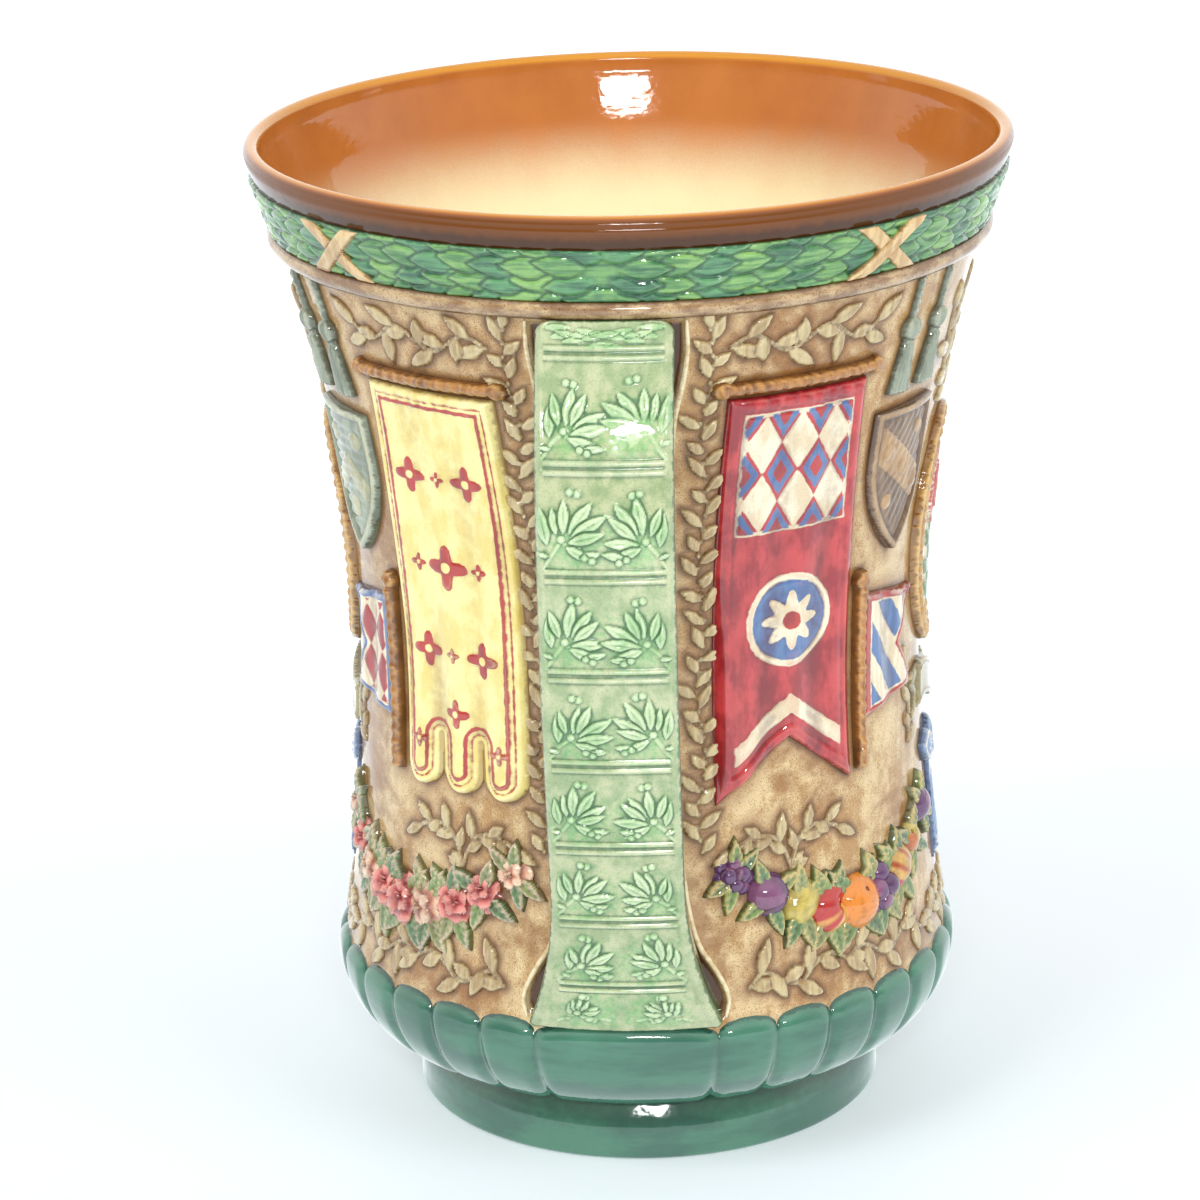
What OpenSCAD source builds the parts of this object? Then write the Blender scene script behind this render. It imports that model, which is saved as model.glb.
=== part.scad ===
// Two-handled pottery loving cup: a waisted wall on a foot ring, two strap handles, a laurel band
// under the lip, a lobed band at the base, and moulded ornaments luted onto the wall.
// Millimetres, +Z up, origin at the centre of the foot's underside. The front handle faces -Y.

/* [Cup wall] */
// Height from the foot's underside to the top of the lip
cup_height = 265; // [258:1:275]
// Outer diameter at the lip
rim_diameter = 200; // [194:1:208]
// Outer diameter of the bare wall at the waist
waist_diameter = 150; // [144:1:156]
// Height of the waist
waist_height = 130; // [122:1:138]
// Outer diameter of the bare wall at the belly
belly_diameter = 164; // [160:1:170]
// Height of the belly, where the shoulder begins to turn under
belly_height = 44; // [42:1:48]
// Radius of the shoulder between the belly and the foot
shoulder_radius = 26; // [24:1:28]
// Thickness of the wall
wall_thickness = 6; // [5:0.5:7]
// Thickness of the floor
floor_thickness = 7; // [6:0.5:10]

/* [Foot] */
// Outer diameter of the foot ring where it stands
foot_diameter = 126; // [120:1:132]
// Radius of the foot ring's upper outer edge
foot_top_radius = 6.5; // [4:0.5:6.5]
// Thickness of the foot ring, measured along the radius
foot_wall = 9; // [7:0.5:11]
// Radius of the foot ring's lower outer edge
foot_edge_radius = 1.5; // [0.8:0.1:2.5]

/* [Bands under the lip] */
// Depth of the plain band between the lip and the laurel
lip_band = 8.5; // [7:0.5:10]
// Depth of the laurel band
laurel_depth = 14; // [12:0.5:16]
// How far the laurel band stands out from the wall
laurel_relief = 1.6; // [1.2:0.1:2.4]
// Width of each strip of a crossed ribbon
ribbon_width = 3.8; // [3:0.1:5]
// Slant of the ribbon strips from level
ribbon_slant = 38; // [32:1:50]
// How far a ribbon stands out from the laurel band
ribbon_relief = 1.2; // [0.9:0.1:1.8]
// Depth of the cornice moulding below the laurel
cornice_depth = 4.5; // [3.5:0.5:6]
// How far the cornice stands out from the wall
cornice_relief = 2.6; // [2:0.1:3.5]

/* [Lobed base band] */
// Small lobes on each side, between the two wide lobes under the handles
lobes_per_side = 13; // [11:2:15]
// Pitches that the wide lobe under a handle takes
wide_lobe_pitches = 3; // [3:1:3]
// How far a lobe swells out from the shoulder
lobe_relief = 2.6; // [2:0.1:3.2]
// Angle above the shoulder's centre at which a lobe starts
lobe_top_angle = 6; // [4:1:9]
// Angle below the shoulder's centre at which a lobe ends
lobe_bottom_angle = 66; // [60:1:69]
// Rise of a lobe's rounded upper end
lobe_crown = 3.5; // [3:0.5:6]
// Gap between neighbouring lobes, in degrees
lobe_gap = 0.5; // [0.3:0.1:0.8]

/* [Handles] */
// Distance from the axis to the handle's face at its furthest
handle_reach = 110; // [106:1:116]
// Height at which the handle reaches furthest
handle_reach_height = 180; // [172:1:188]
// Thickness of the strap
strap_thickness = 8; // [6.5:0.5:9]
// Width of the strap along its straight part
strap_width = 34; // [31:1:35]
// Width of the strap's flared lower end
strap_flare_width = 50; // [46:1:54]
// Height of the flared part
strap_flare_height = 44; // [38:1:50]
// How far the strap's lower end stands out from the wall
strap_end_relief = 2.8; // [2.2:0.1:3.4]
// Pairs of ridges across the strap
ridge_pairs = 8; // [7:1:8]
// Length of the panel above the first pair of ridges
strap_top_panel = 8; // [6:0.5:10]
// Length of the panel below the last pair of ridges
strap_last_panel = 15.5; // [14:0.5:18]
// How much shorter each panel is than the one above it
panel_step = 1.05; // [0.8:0.05:1.2]
// Height and width of one ridge
ridge_size = 0.9; // [0.6:0.1:1.2]
// Distance between the two ridges of a pair
ridge_spacing = 2.4; // [2:0.1:3]
// Plain margin at each end of a ridge
ridge_margin = 2; // [1.5:0.1:3]
// Depth of the hollow in the wall behind a handle
hollow_depth = 1.6; // [1:0.1:2.2]
// Width of that hollow along the strap's straight part
hollow_width = 26; // [22:1:32]
// Width of that hollow at its upper end
hollow_top_width = 39; // [38:1:42]
// Length over which the hollow widens to its upper end
hollow_top_length = 36; // [28:1:44]
// Width of that hollow at its lower end
hollow_bottom_width = 54; // [52:1:57]
// Length over which the hollow widens to its lower end
hollow_bottom_length = 28; // [22:1:40]
// Bare wall between the hollow and the bands above and below it
hollow_margin = 1; // [0.5:0.1:2]

/* [Ornaments on the wall] */
// Angle from a handle to the middle of a hanging banner
banner_angle = 33.5; // [32:0.5:35]
// Width of a hanging banner
banner_width = 40; // [36:1:41]
// Length of a hanging banner
banner_length = 110; // [100:1:112]
// Depth of the notch or the tongues at a banner's lower edge
banner_tail = 16; // [12:1:20]
// How far a banner stands out from the wall
banner_relief = 2.6; // [2:0.1:3.4]
// Distance from the cornice to the middle of a crossbar
crossbar_drop = 21; // [18:1:24]
// Diameter of a banner's crossbar
crossbar_diameter = 5; // [4:0.5:6]
// Thickness of a crossbar between its end balls
crossbar_rod = 3.5; // [3:0.1:4]
// How far a crossbar runs past its banner on each side
crossbar_overhang = 2.2; // [1.5:0.1:3]
// How far a crossbar, staff or frame stands out from the wall
bar_relief = 3.4; // [2.6:0.1:4.2]
// Width of a shield
shield_width = 27; // [24:1:28]
// Height of a shield
shield_height = 40; // [36:1:43]
// Height of a shield's straight sides
shield_straight = 13; // [10:1:16]
// How far a shield stands out from the wall
shield_relief = 3; // [2.2:0.1:3.8]
// Width of a flying pennant
pennant_width = 25; // [22:1:26]
// Height of a flying pennant at its staff
pennant_height = 34; // [30:1:36]
// Depth of the notch in a pennant's free end
pennant_notch = 9; // [6:0.5:11]
// How far a pennant narrows, above and below, towards its free end
pennant_taper = 4; // [2:0.5:6]
// How far a pennant stands out from the wall
pennant_relief = 2.4; // [1.8:0.1:3]
// Distance from the top of a staff to its pennant
pennant_drop = 7; // [6:0.5:9]
// Width of a pennant's staff
staff_width = 3.2; // [2.6:0.1:4]
// Radius of the ball on a staff
staff_ball = 2.6; // [2.2:0.1:3.2]
// Length of a pennant's staff
staff_length = 54; // [48:1:55]
// Width of the oval medallion
medallion_width = 33; // [30:1:34]
// Height of the oval medallion
medallion_height = 56; // [50:1:60]
// Height of the medallion's middle above the middle of the wall's field
medallion_rise = 16; // [12:1:20]
// How far the medallion stands out from the wall
medallion_relief = 2.2; // [1.6:0.1:3]
// Width of the frame around the medallion
frame_width = 5; // [4:0.5:5.5]
// Length of the ribbon scroll below the medallion
scroll_length = 44; // [40:1:46]
// Width of the ribbon scroll
scroll_width = 11; // [9:0.5:12]
// Rise and fall of the ribbon scroll
scroll_wave = 3; // [2:0.5:4]
// Length of one loop of the ribbon bow
bow_loop_length = 13; // [11:0.5:14]
// Width of one loop of the ribbon bow
bow_loop_width = 9; // [7:0.5:10]
// Slant of the bow's loops from level
bow_slant = 15; // [10:1:20]
// Radius of the bow's knot
bow_knot = 3; // [2.5:0.1:3.5]
// Width of the bow's hanging ends
bow_tail_width = 4.5; // [3.5:0.1:5.5]
// Length of the bow's hanging ends
bow_tail_length = 30; // [24:1:34]
// Length of a tassel with its cord
tassel_length = 31; // [26:1:33]
// Width of a tassel's skirt
tassel_width = 9; // [8:0.5:10]
// Height of a tassel's skirt
tassel_skirt = 15.5; // [13:0.5:17]
// Radius of a tassel's knob
tassel_knob = 3.2; // [2.8:0.1:3.6]
// Width of a tassel's cord
tassel_cord = 1.6; // [1.2:0.1:2]
// Angle from a handle to the middle of a festoon
festoon_angle = 48.5; // [47:0.5:49.5]
// Angle that a festoon spans
festoon_span = 54; // [50:1:56]
// Height of a festoon's ends above the lobes
festoon_rise = 38; // [35:1:42]
// How far a festoon hangs below its ends
festoon_sag = 15; // [10:1:18]
// Radius of the fruit at the middle of a festoon
fruit_radius = 8; // [7:0.1:8.6]
// Radius of the fruit at the ends of a festoon
end_fruit_radius = 5.8; // [5.6:0.1:6]
// Fruit in one festoon
fruit_count = 9; // [9:2:11]
// How deep a fruit's centre lies inside the wall's surface
fruit_sink = 2.2; // [1.6:0.1:2.8]
// Clear space between neighbouring ornaments
ornament_gap = 2.5; // [2:0.1:3]
// Joint between pieces of one ornament
ornament_joint = 0.3; // [0.2:0.1:0.5]

/* [Hidden] */
$fn = 96;
wall_fn = 480;
tiny = 0.01;

// Wall: two arcs that meet at the waist, and the shoulder below the belly
rim_r = rim_diameter / 2;
waist_r = waist_diameter / 2;
belly_r = belly_diameter / 2;
foot_r = foot_diameter / 2;
lip_radius = wall_thickness / 2;
lip_z = cup_height - lip_radius;
upper_arc = arc_radius(lip_z - waist_height, rim_r - waist_r);
lower_arc = arc_radius(waist_height - belly_height, belly_r - waist_r);
shoulder_r = belly_r - shoulder_radius;
base_z = belly_height - shoulder_radius;
foot_height = shoulder_z(foot_r - foot_top_radius);
outside = rim_r + handle_reach;

// Bands under the lip, from the top down
laurel_top = cup_height - lip_band;
laurel_bottom = laurel_top - laurel_depth;
field_top = laurel_bottom - cornice_depth;
tie_angles = [45, 135, 225, 315];

// Lobes: a tighter arc that meets the shoulder at the two angles
lobe_pitch = 180 / (lobes_per_side + wide_lobe_pitches);
lobe_half_angle = (lobe_top_angle + lobe_bottom_angle) / 2;
lobe_middle = (lobe_top_angle - lobe_bottom_angle) / 2;
lobe_chord = shoulder_radius * sin(lobe_half_angle);
lobe_rise = shoulder_radius * (1 - cos(lobe_half_angle)) + lobe_relief;
lobe_arc = arc_radius(lobe_chord, lobe_rise);
lobe_offset = shoulder_radius + lobe_relief - lobe_arc;
field_bottom = belly_height + shoulder_radius * sin(lobe_top_angle);

// Handles: two arcs that meet where the handle reaches furthest
strap_top_r = wall_r(field_top) + cornice_relief;
strap_bottom_r = wall_r(field_bottom) + strap_end_relief;
strap_upper_arc = arc_radius(field_top - handle_reach_height, handle_reach - strap_top_r);
strap_lower_arc = arc_radius(handle_reach_height - field_bottom, handle_reach - strap_bottom_r);
strap_upper_turn = asin((field_top - handle_reach_height) / strap_upper_arc);
strap_lower_turn = asin((handle_reach_height - field_bottom) / strap_lower_arc);
strap_upper_length = strap_upper_arc * strap_upper_turn * PI / 180;
strap_lower_length = strap_lower_arc * strap_lower_turn * PI / 180;
graded_length = strap_upper_length + strap_lower_length - strap_top_panel - strap_last_panel;
first_panel = graded_length / (ridge_pairs - 1) + panel_step * (ridge_pairs - 2) / 2;
flare_arc = arc_radius(strap_flare_height, (strap_flare_width - strap_width) / 2);

// Ornaments: heights are measured down from the cornice or up from the lobes. Their lengths are
// drawn for a field of the usual height, and a taller or lower field stretches them alike.
usual_field = 191.28;
field_fit = round(1000 * (field_top - field_bottom) / usual_field) / 1000;
banner_fall = banner_length * field_fit;
shield_fall = shield_height * field_fit;
tassel_fall = tassel_length * field_fit;
staff_fall = staff_length * field_fit;
medallion_fall = medallion_height * field_fit;
crossbar_z = field_top - crossbar_drop * field_fit;
banner_top = crossbar_z - crossbar_diameter / 2 - ornament_joint;
column_angle = banner_angle + span_angle(banner_width / 2 + ornament_gap);
shield_angle = column_angle + span_angle(shield_width / 2);
shield_top = field_top - tassel_fall - 2 * ornament_gap;
tassel_top = field_top - ornament_joint;
tassel_spread = span_angle(tassel_width / 2 + ornament_gap / 2);
staff_angle = column_angle + span_angle(staff_width / 2);
staff_top = shield_top - shield_fall - ornament_gap;
pennant_angle = staff_angle + span_angle(staff_width / 2 + ornament_joint);
medallion_angle = 90;
medallion_z = (field_top + field_bottom) / 2 + medallion_rise * field_fit;
frame_bottom = medallion_z - medallion_fall / 2 - frame_width;
scroll_z = frame_bottom - ornament_gap - scroll_wave - scroll_width / 2;
bow_z = scroll_z - scroll_width / 2 - scroll_wave - ornament_gap - bow_loop_width;
festoon_z = field_bottom + festoon_rise * field_fit;

ORNAMENTS = [
    "crimson_banner", "crimson_crossbar", "yellow_banner", "yellow_crossbar", "brown_shield",
    "green_shield", "striped_pennant", "striped_staff", "chequered_pennant", "chequered_staff",
    "medallion", "medallion_frame", "ribbon_scroll", "ribbon_bow", "autumn_festoon", "rose_festoon",
    "autumn_tassels", "rose_tassels"];

// Radius of the arc that departs by rise from its own tangent over a length,
// to a hundredth so that arcs and their centres meet cleanly
function arc_radius(length, rise) = round(50 * (length * length + rise * rise) / rise) / 100;

// Angle at the waist that a length along the wall spans
function span_angle(length) = length / waist_r * 180 / PI;

// Height of the shoulder's underside at a radius
function shoulder_z(r) = belly_height - sqrt(pow(shoulder_radius, 2) - pow(r - shoulder_r, 2));

// Outer radius of the bare wall at a height
function wall_r(z) =
    let (arc = z > waist_height ? upper_arc : lower_arc, away = z - waist_height)
    waist_r + arc - sqrt(arc * arc - away * away);

// Radius, height and tilt of the strap's outer face at a distance along it from the top
function strap_point(s) =
    s < strap_upper_length
        ? let (a = strap_upper_turn - s / strap_upper_arc * 180 / PI)
            [handle_reach - strap_upper_arc * (1 - cos(a)),
             handle_reach_height + strap_upper_arc * sin(a), a]
        : let (a = (s - strap_upper_length) / strap_lower_arc * 180 / PI)
            [handle_reach - strap_lower_arc * (1 - cos(a)),
             handle_reach_height - strap_lower_arc * sin(a), -a];

// Distance along the strap from its top to a pair of ridges
function ridge_place(i) = strap_top_panel + i * first_panel - panel_step * i * (i - 1) / 2;

// Half section of everything inside the wall's outer face, grown outwards by a relief
module outer_section(relief = 0) {
    difference() {
        translate([0, waist_height]) square([outside, cup_height - waist_height]);
        translate([waist_r + upper_arc, waist_height]) circle(upper_arc - relief, $fn = wall_fn);
    }
    difference() {
        translate([0, belly_height]) square([outside, waist_height - belly_height]);
        translate([waist_r + lower_arc, waist_height]) circle(lower_arc - relief, $fn = wall_fn);
    }
    intersection() {
        translate([shoulder_r, belly_height]) circle(shoulder_radius + relief);
        translate([0, base_z - relief]) square([outside, shoulder_radius + relief]);
    }
    translate([0, base_z - relief]) square([shoulder_r, shoulder_radius + relief]);
}

// Section of a skin on the wall between two heights
module skin_section(relief, bottom, top, under = 0) {
    intersection() {
        difference() {
            outer_section(relief);
            outer_section(under);
        }
        translate([0, bottom]) square([outside, top - bottom]);
    }
}

// Half section of the cup's inside
module inner_section() {
    translate([0, waist_height]) difference() {
        square([outside, cup_height - waist_height + 1]);
        translate([waist_r + upper_arc, 0]) circle(upper_arc + wall_thickness, $fn = wall_fn);
    }
    difference() {
        translate([0, belly_height]) square([rim_r, waist_height - belly_height]);
        translate([waist_r + lower_arc, waist_height]) circle(lower_arc + wall_thickness, $fn = wall_fn);
    }
    intersection() {
        union() {
            translate([shoulder_r, belly_height]) circle(shoulder_radius - wall_thickness);
            translate([0, base_z]) square([shoulder_r, shoulder_radius]);
        }
        translate([0, base_z + floor_thickness]) square([outside, shoulder_radius - floor_thickness]);
    }
}

// The solid inside the wall's outer face, for seating other pieces on it
module wall_core() {
    rotate_extrude() outer_section();
}

// A piece at an angle round the cup, counted from the front handle
module round_the_cup(angle) {
    rotate([0, 0, angle]) children();
}

// A flat outline, drawn as seen from outside, carried outwards from the axis at an angle and height
module cast_outwards(angle, z, tilt = 0) {
    round_the_cup(angle) translate([0, 0, z]) rotate([90, 0, 0])
        linear_extrude(height = outside) rotate(tilt) children();
}

// An ornament luted on the wall: an outline, cut from a skin of even thickness
module luted(angle, z, relief, tilt = 0) {
    intersection() {
        rotate_extrude() skin_section(relief, field_bottom, field_top);
        cast_outwards(angle, z, tilt) children();
    }
}

// Half of a hollow's outline, from its lower end up
function hollow_side() =
    let (bottom = field_bottom + hollow_margin, top = field_top - hollow_margin)
    [[hollow_bottom_width / 2, bottom],
     [hollow_bottom_width / 2, bottom + hollow_bottom_length / 4],
     [hollow_width / 2, bottom + hollow_bottom_length],
     [hollow_width / 2, top - hollow_top_length],
     [hollow_top_width / 2, top - hollow_top_length / 3],
     [hollow_top_width / 2, top]];

// Outline behind the strap within which the wall is hollowed
module hollow_outline() {
    side = hollow_side();
    last = len(side) - 1;
    polygon(concat(side, [for (i = [last : -1 : 0]) [-side[i][0], side[i][1]]]));
}

// The hollow in the wall behind one handle
module hollow(angle) {
    intersection() {
        rotate_extrude() skin_section(tiny, field_bottom, field_top, -hollow_depth);
        cast_outwards(angle, 0) hollow_outline();
    }
}

// The slip-cast wall with its floor and rounded lip
module cup_body() {
    color("burlywood") difference() {
        rotate_extrude() {
            difference() {
                intersection() {
                    outer_section();
                    square([outside, lip_z]);
                }
                inner_section();
            }
            translate([rim_r - lip_radius, lip_z]) circle(lip_radius);
        }
        hollow(0);
        hollow(180);
    }
}

// Section of the foot ring, with rounded outer edges
module foot_section() {
    inner_r = foot_r - foot_wall;
    translate([inner_r, 0]) square([foot_wall - foot_top_radius, foot_height]);
    translate([inner_r, 0]) square([foot_wall - foot_edge_radius, foot_height - foot_top_radius]);
    translate([inner_r, foot_edge_radius])
        square([foot_wall, foot_height - foot_top_radius - foot_edge_radius]);
    translate([foot_r - foot_edge_radius, foot_edge_radius]) circle(foot_edge_radius);
    intersection() {
        translate([inner_r, 0]) square([foot_wall, foot_height]);
        translate([foot_r - foot_top_radius, foot_height - foot_top_radius]) circle(foot_top_radius);
    }
}

// The ring that the cup stands on, seated under the shoulder
module foot_ring() {
    color("seagreen") difference() {
        rotate_extrude() foot_section();
        wall_core();
    }
}

// Section of one lobe, swelling out between the belly and the foot
module lobe_section() {
    difference() {
        translate([shoulder_r, belly_height]) rotate(lobe_middle) translate([lobe_offset, 0])
            circle(lobe_arc);
        outer_section();
        square([foot_r, belly_height]);
    }
}

// One lobe, centred on an angle, with a rounded upper end
module lobe(angle, pitches) {
    sweep = lobe_pitch * pitches - lobe_gap;
    half = belly_r * sin(sweep / 2);
    crown_arc = arc_radius(half, lobe_crown);
    intersection() {
        round_the_cup(angle - 90 - sweep / 2) rotate_extrude(angle = sweep) lobe_section();
        cast_outwards(angle, field_bottom - lobe_crown) {
            intersection() {
                translate([0, lobe_crown - crown_arc]) circle(crown_arc);
                translate([-belly_r, 0]) square([2 * belly_r, lobe_crown]);
            }
            translate([-belly_r, -belly_height]) square([2 * belly_r, belly_height]);
        }
    }
}

// The band of lobes round the base
module lobed_band() {
    color("seagreen") for (side = [0, 180]) {
        lobe(side, wide_lobe_pitches);
        for (i = [1 : lobes_per_side])
            lobe(side + lobe_pitch * (wide_lobe_pitches / 2 + i - 0.5), 1);
    }
}

// The plain moulding that overhangs the ornaments
module cornice_moulding() {
    color("rosybrown") rotate_extrude() skin_section(cornice_relief, field_top, laurel_bottom);
}

// The band under the lip
module laurel_band() {
    color("forestgreen") rotate_extrude() skin_section(laurel_relief, laurel_bottom, laurel_top);
}

// One leaf, pointed at both ends
module leaf_outline(length, width) {
    arc = arc_radius(length / 2, width / 2);
    intersection() {
        translate([0, arc - width / 2]) circle(arc);
        translate([0, width / 2 - arc]) circle(arc);
    }
}

// Two crossed strips over the laurel band
module ribbon_tie(angle) {
    color("tan") intersection() {
        rotate_extrude()
            skin_section(laurel_relief + ribbon_relief, laurel_bottom, laurel_top, laurel_relief);
        cast_outwards(angle, laurel_bottom + laurel_depth / 2) for (slant = [-ribbon_slant, ribbon_slant])
            rotate(slant) square([3 * laurel_depth, ribbon_width], center = true);
    }
}

// One stretch of the strap, up or down from where the handle reaches furthest
module strap_stretch(arc, rise) {
    bottom = min(rise, 0);
    top = max(rise, 0);
    translate([0, 0, handle_reach_height]) rotate([90, 0, -90])
        linear_extrude(height = strap_flare_width, center = true) intersection() {
            translate([handle_reach - arc, 0]) difference() {
                circle(arc, $fn = wall_fn);
                circle(arc - strap_thickness, $fn = wall_fn);
            }
            polygon([[0, bottom], [outside, bottom], [outside, top], [0, top]]);
        }
}

// Front outline of the strap, flared at its lower end
module strap_outline() {
    flare = (strap_flare_width - strap_width) / 2;
    flare_top = field_bottom + strap_flare_height;
    difference() {
        translate([-strap_flare_width / 2, field_bottom])
            square([strap_flare_width, field_top - field_bottom]);
        for (side = [0, 1]) mirror([side, 0]) {
            translate([strap_width / 2 + flare_arc, flare_top]) circle(flare_arc);
            translate([strap_width / 2, flare_top]) square([2 * flare, field_top]);
        }
    }
}

// One ridge across the strap at a distance along it
module ridge(s) {
    p = strap_point(s);
    translate([0, -p[0], p[1]]) rotate([p[2], 0, 0])
        cube([strap_width - 2 * ridge_margin, 2 * ridge_size, ridge_size], center = true);
}

// A strap handle with pairs of ridges between its panels, its ends seated in the wall's hollow
module handle(angle) {
    color("darkseagreen") round_the_cup(angle) difference() {
        union() {
            intersection() {
                union() {
                    strap_stretch(strap_upper_arc, field_top - handle_reach_height);
                    strap_stretch(strap_lower_arc, field_bottom - handle_reach_height);
                }
                cast_outwards(0, 0) strap_outline();
            }
            for (i = [0 : ridge_pairs - 1]) for (half = [-0.5, 0.5])
                ridge(ridge_place(i) + half * ridge_spacing);
        }
        difference() {
            wall_core();
            hollow(0);
        }
    }
}

// Banner that ends in two points
module swallowtail_outline() {
    w = banner_width / 2;
    polygon([[-w, 0], [-w, -banner_fall], [0, banner_tail - banner_fall], [w, -banner_fall], [w, 0]]);
}

// Banner that ends in three round tongues
module tongued_outline() {
    w = banner_width / 2;
    tongue = banner_width / 6;
    middle = tongue - banner_fall;
    notch = middle + banner_tail / 2;
    round_end = [for (a = [0 : -20 : -180])
        [tongue * cos(a), a % 180 == 0 ? notch : middle + tongue * sin(a)]];
    polygon(concat(
        [[-w, 0], [w, 0]],
        [for (x = [w - tongue, 0, tongue - w]) for (p = round_end) [x + p[0], p[1]]]));
}

// Rod with a ball at each end
module crossbar_outline() {
    half = banner_width / 2 + crossbar_overhang;
    square([2 * half, crossbar_rod], center = true);
    for (side = [-1, 1]) translate([side * half, 0]) circle(crossbar_diameter / 2);
}

// Shield with a straight top and curved sides that meet in a point
module shield_outline() {
    w = shield_width / 2;
    side_arc = arc_radius(shield_fall - shield_straight, w);
    translate([-w, -shield_straight]) square([shield_width, shield_straight]);
    intersection() {
        translate([side_arc - w, -shield_straight]) circle(side_arc);
        translate([w - side_arc, -shield_straight]) circle(side_arc);
        translate([-w, -shield_fall]) square([shield_width, shield_fall - shield_straight]);
    }
}

// Pennant that flies towards +x from its staff, notched at its free end
module pennant_outline() {
    polygon([[0, 0], [pennant_width, -pennant_taper], [pennant_width - pennant_notch, -pennant_height / 2],
        [pennant_width, pennant_taper - pennant_height], [0, -pennant_height]]);
}

// Staff with a ball at its top
module staff_outline() {
    translate([-staff_width / 2, -staff_fall]) square([staff_width, staff_fall - staff_ball]);
    translate([0, -staff_ball]) circle(staff_ball);
}

// Oval of a width and height
module oval(width, height) {
    polygon([for (a = [0 : 7.5 : 352.5]) [width / 2 * cos(a), height / 2 * sin(a)]]);
}

// Ribbon that rises and falls once along its length
module scroll_outline() {
    steps = 24;
    edge = [for (i = [0 : steps]) [scroll_length * (i / steps - 0.5), scroll_wave * sin(360 * i / steps)]];
    polygon(concat(
        [for (p = edge) [p[0], p[1] + scroll_width / 2]],
        [for (i = [steps : -1 : 0]) [edge[i][0], edge[i][1] - scroll_width / 2]]));
}

// Cord, knob and skirt of one tassel, hanging from its top
module tassel_outline() {
    skirt_top = tassel_skirt - tassel_fall;
    neck = tassel_knob / 2;
    translate([-tassel_cord / 2, skirt_top]) square([tassel_cord, tassel_fall - tassel_skirt]);
    translate([0, skirt_top + neck]) circle(tassel_knob);
    polygon([[-neck, skirt_top], [-tassel_width / 2, -tassel_fall], [tassel_width / 2, -tassel_fall],
        [neck, skirt_top]]);
}

// Two loops, a knot and two hanging ends
module bow_outline() {
    half = bow_tail_width / 2;
    side = [[bow_knot, -bow_knot / 2], [bow_knot + 2 * half, -bow_tail_length],
        [bow_knot + half, 2 * half - bow_tail_length], [bow_knot - half, -bow_tail_length]];
    circle(bow_knot);
    polygon(concat([for (p = side) [-p[0], p[1]]], [[0, -2 * bow_knot]], [for (i = [3 : -1 : 0]) side[i]]));
    for (turn = [-1, 1]) translate([turn * bow_loop_length / 2, bow_knot / 2]) rotate(turn * bow_slant)
        leaf_outline(bow_loop_length, bow_loop_width);
}

// Fruit hung in a bow between two points on the wall
module festoon(angle) {
    middle = (fruit_count - 1) / 2;
    for (i = [0 : fruit_count - 1]) {
        t = (i - middle) / middle;
        z = festoon_z - festoon_sag * (1 - t * t);
        r = fruit_radius + (end_fruit_radius - fruit_radius) * abs(t);
        difference() {
            round_the_cup(angle + t * festoon_span / 2) translate([0, fruit_sink - wall_r(z), z]) sphere(r);
            wall_core();
        }
    }
}

// Two tassels side by side under the cornice
module tassels(angle) {
    for (side = [-1, 1])
        luted(angle + side * tassel_spread, tassel_top, shield_relief) tassel_outline();
}

// One ornament by name, on the half of the wall that starts at an angle.
// Ornaments named for roses, yellow, green or chequers lie towards the other handle.
module ornament(name, start) {
    far = start + 180;
    if (name == "crimson_banner")
        color("crimson") luted(start + banner_angle, banner_top, banner_relief) swallowtail_outline();
    if (name == "crimson_crossbar")
        color("sienna") luted(start + banner_angle, crossbar_z, bar_relief) crossbar_outline();
    if (name == "yellow_banner")
        color("khaki") luted(far - banner_angle, banner_top, banner_relief) tongued_outline();
    if (name == "yellow_crossbar")
        color("sienna") luted(far - banner_angle, crossbar_z, bar_relief) crossbar_outline();
    if (name == "brown_shield")
        color("peru") luted(start + shield_angle, shield_top, shield_relief) shield_outline();
    if (name == "green_shield")
        color("darkgray") luted(far - shield_angle, shield_top, shield_relief) shield_outline();
    if (name == "striped_pennant")
        color("steelblue") luted(start + pennant_angle, staff_top - pennant_drop, pennant_relief)
            pennant_outline();
    if (name == "striped_staff")
        color("sienna") luted(start + staff_angle, staff_top, bar_relief) staff_outline();
    if (name == "chequered_pennant")
        color("indianred") luted(far - pennant_angle, staff_top - pennant_drop, pennant_relief)
            mirror([1, 0]) pennant_outline();
    if (name == "chequered_staff")
        color("sienna") luted(far - staff_angle, staff_top, bar_relief) staff_outline();
    if (name == "medallion")
        color("cornsilk") luted(start + medallion_angle, medallion_z, medallion_relief)
            oval(medallion_width, medallion_fall);
    if (name == "medallion_frame")
        color("goldenrod") luted(start + medallion_angle, medallion_z, bar_relief) difference() {
            oval(medallion_width + 2 * frame_width, medallion_fall + 2 * frame_width);
            oval(medallion_width, medallion_fall);
        }
    if (name == "ribbon_scroll")
        color("darkkhaki") luted(start + medallion_angle, scroll_z, pennant_relief) scroll_outline();
    if (name == "ribbon_bow")
        color("lightsteelblue") luted(start + medallion_angle, bow_z, pennant_relief) bow_outline();
    if (name == "autumn_festoon") color("chocolate") festoon(start + festoon_angle);
    if (name == "rose_festoon") color("lightcoral") festoon(far - festoon_angle);
    if (name == "autumn_tassels") color("darkgray") tassels(start + shield_angle);
    if (name == "rose_tassels") color("darkgray") tassels(far - shield_angle);
}

cup_body();
foot_ring();
lobed_band();
cornice_moulding();
laurel_band();
for (i = [1 : len(tie_angles)])
    ribbon_tie(tie_angles[i - 1]);
handle(0);  // handle_front
handle(180);  // handle_back
for (side = ["east", "west"]) for (name = ORNAMENTS)
    ornament(name, side == "east" ? 0 : 180);
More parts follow.
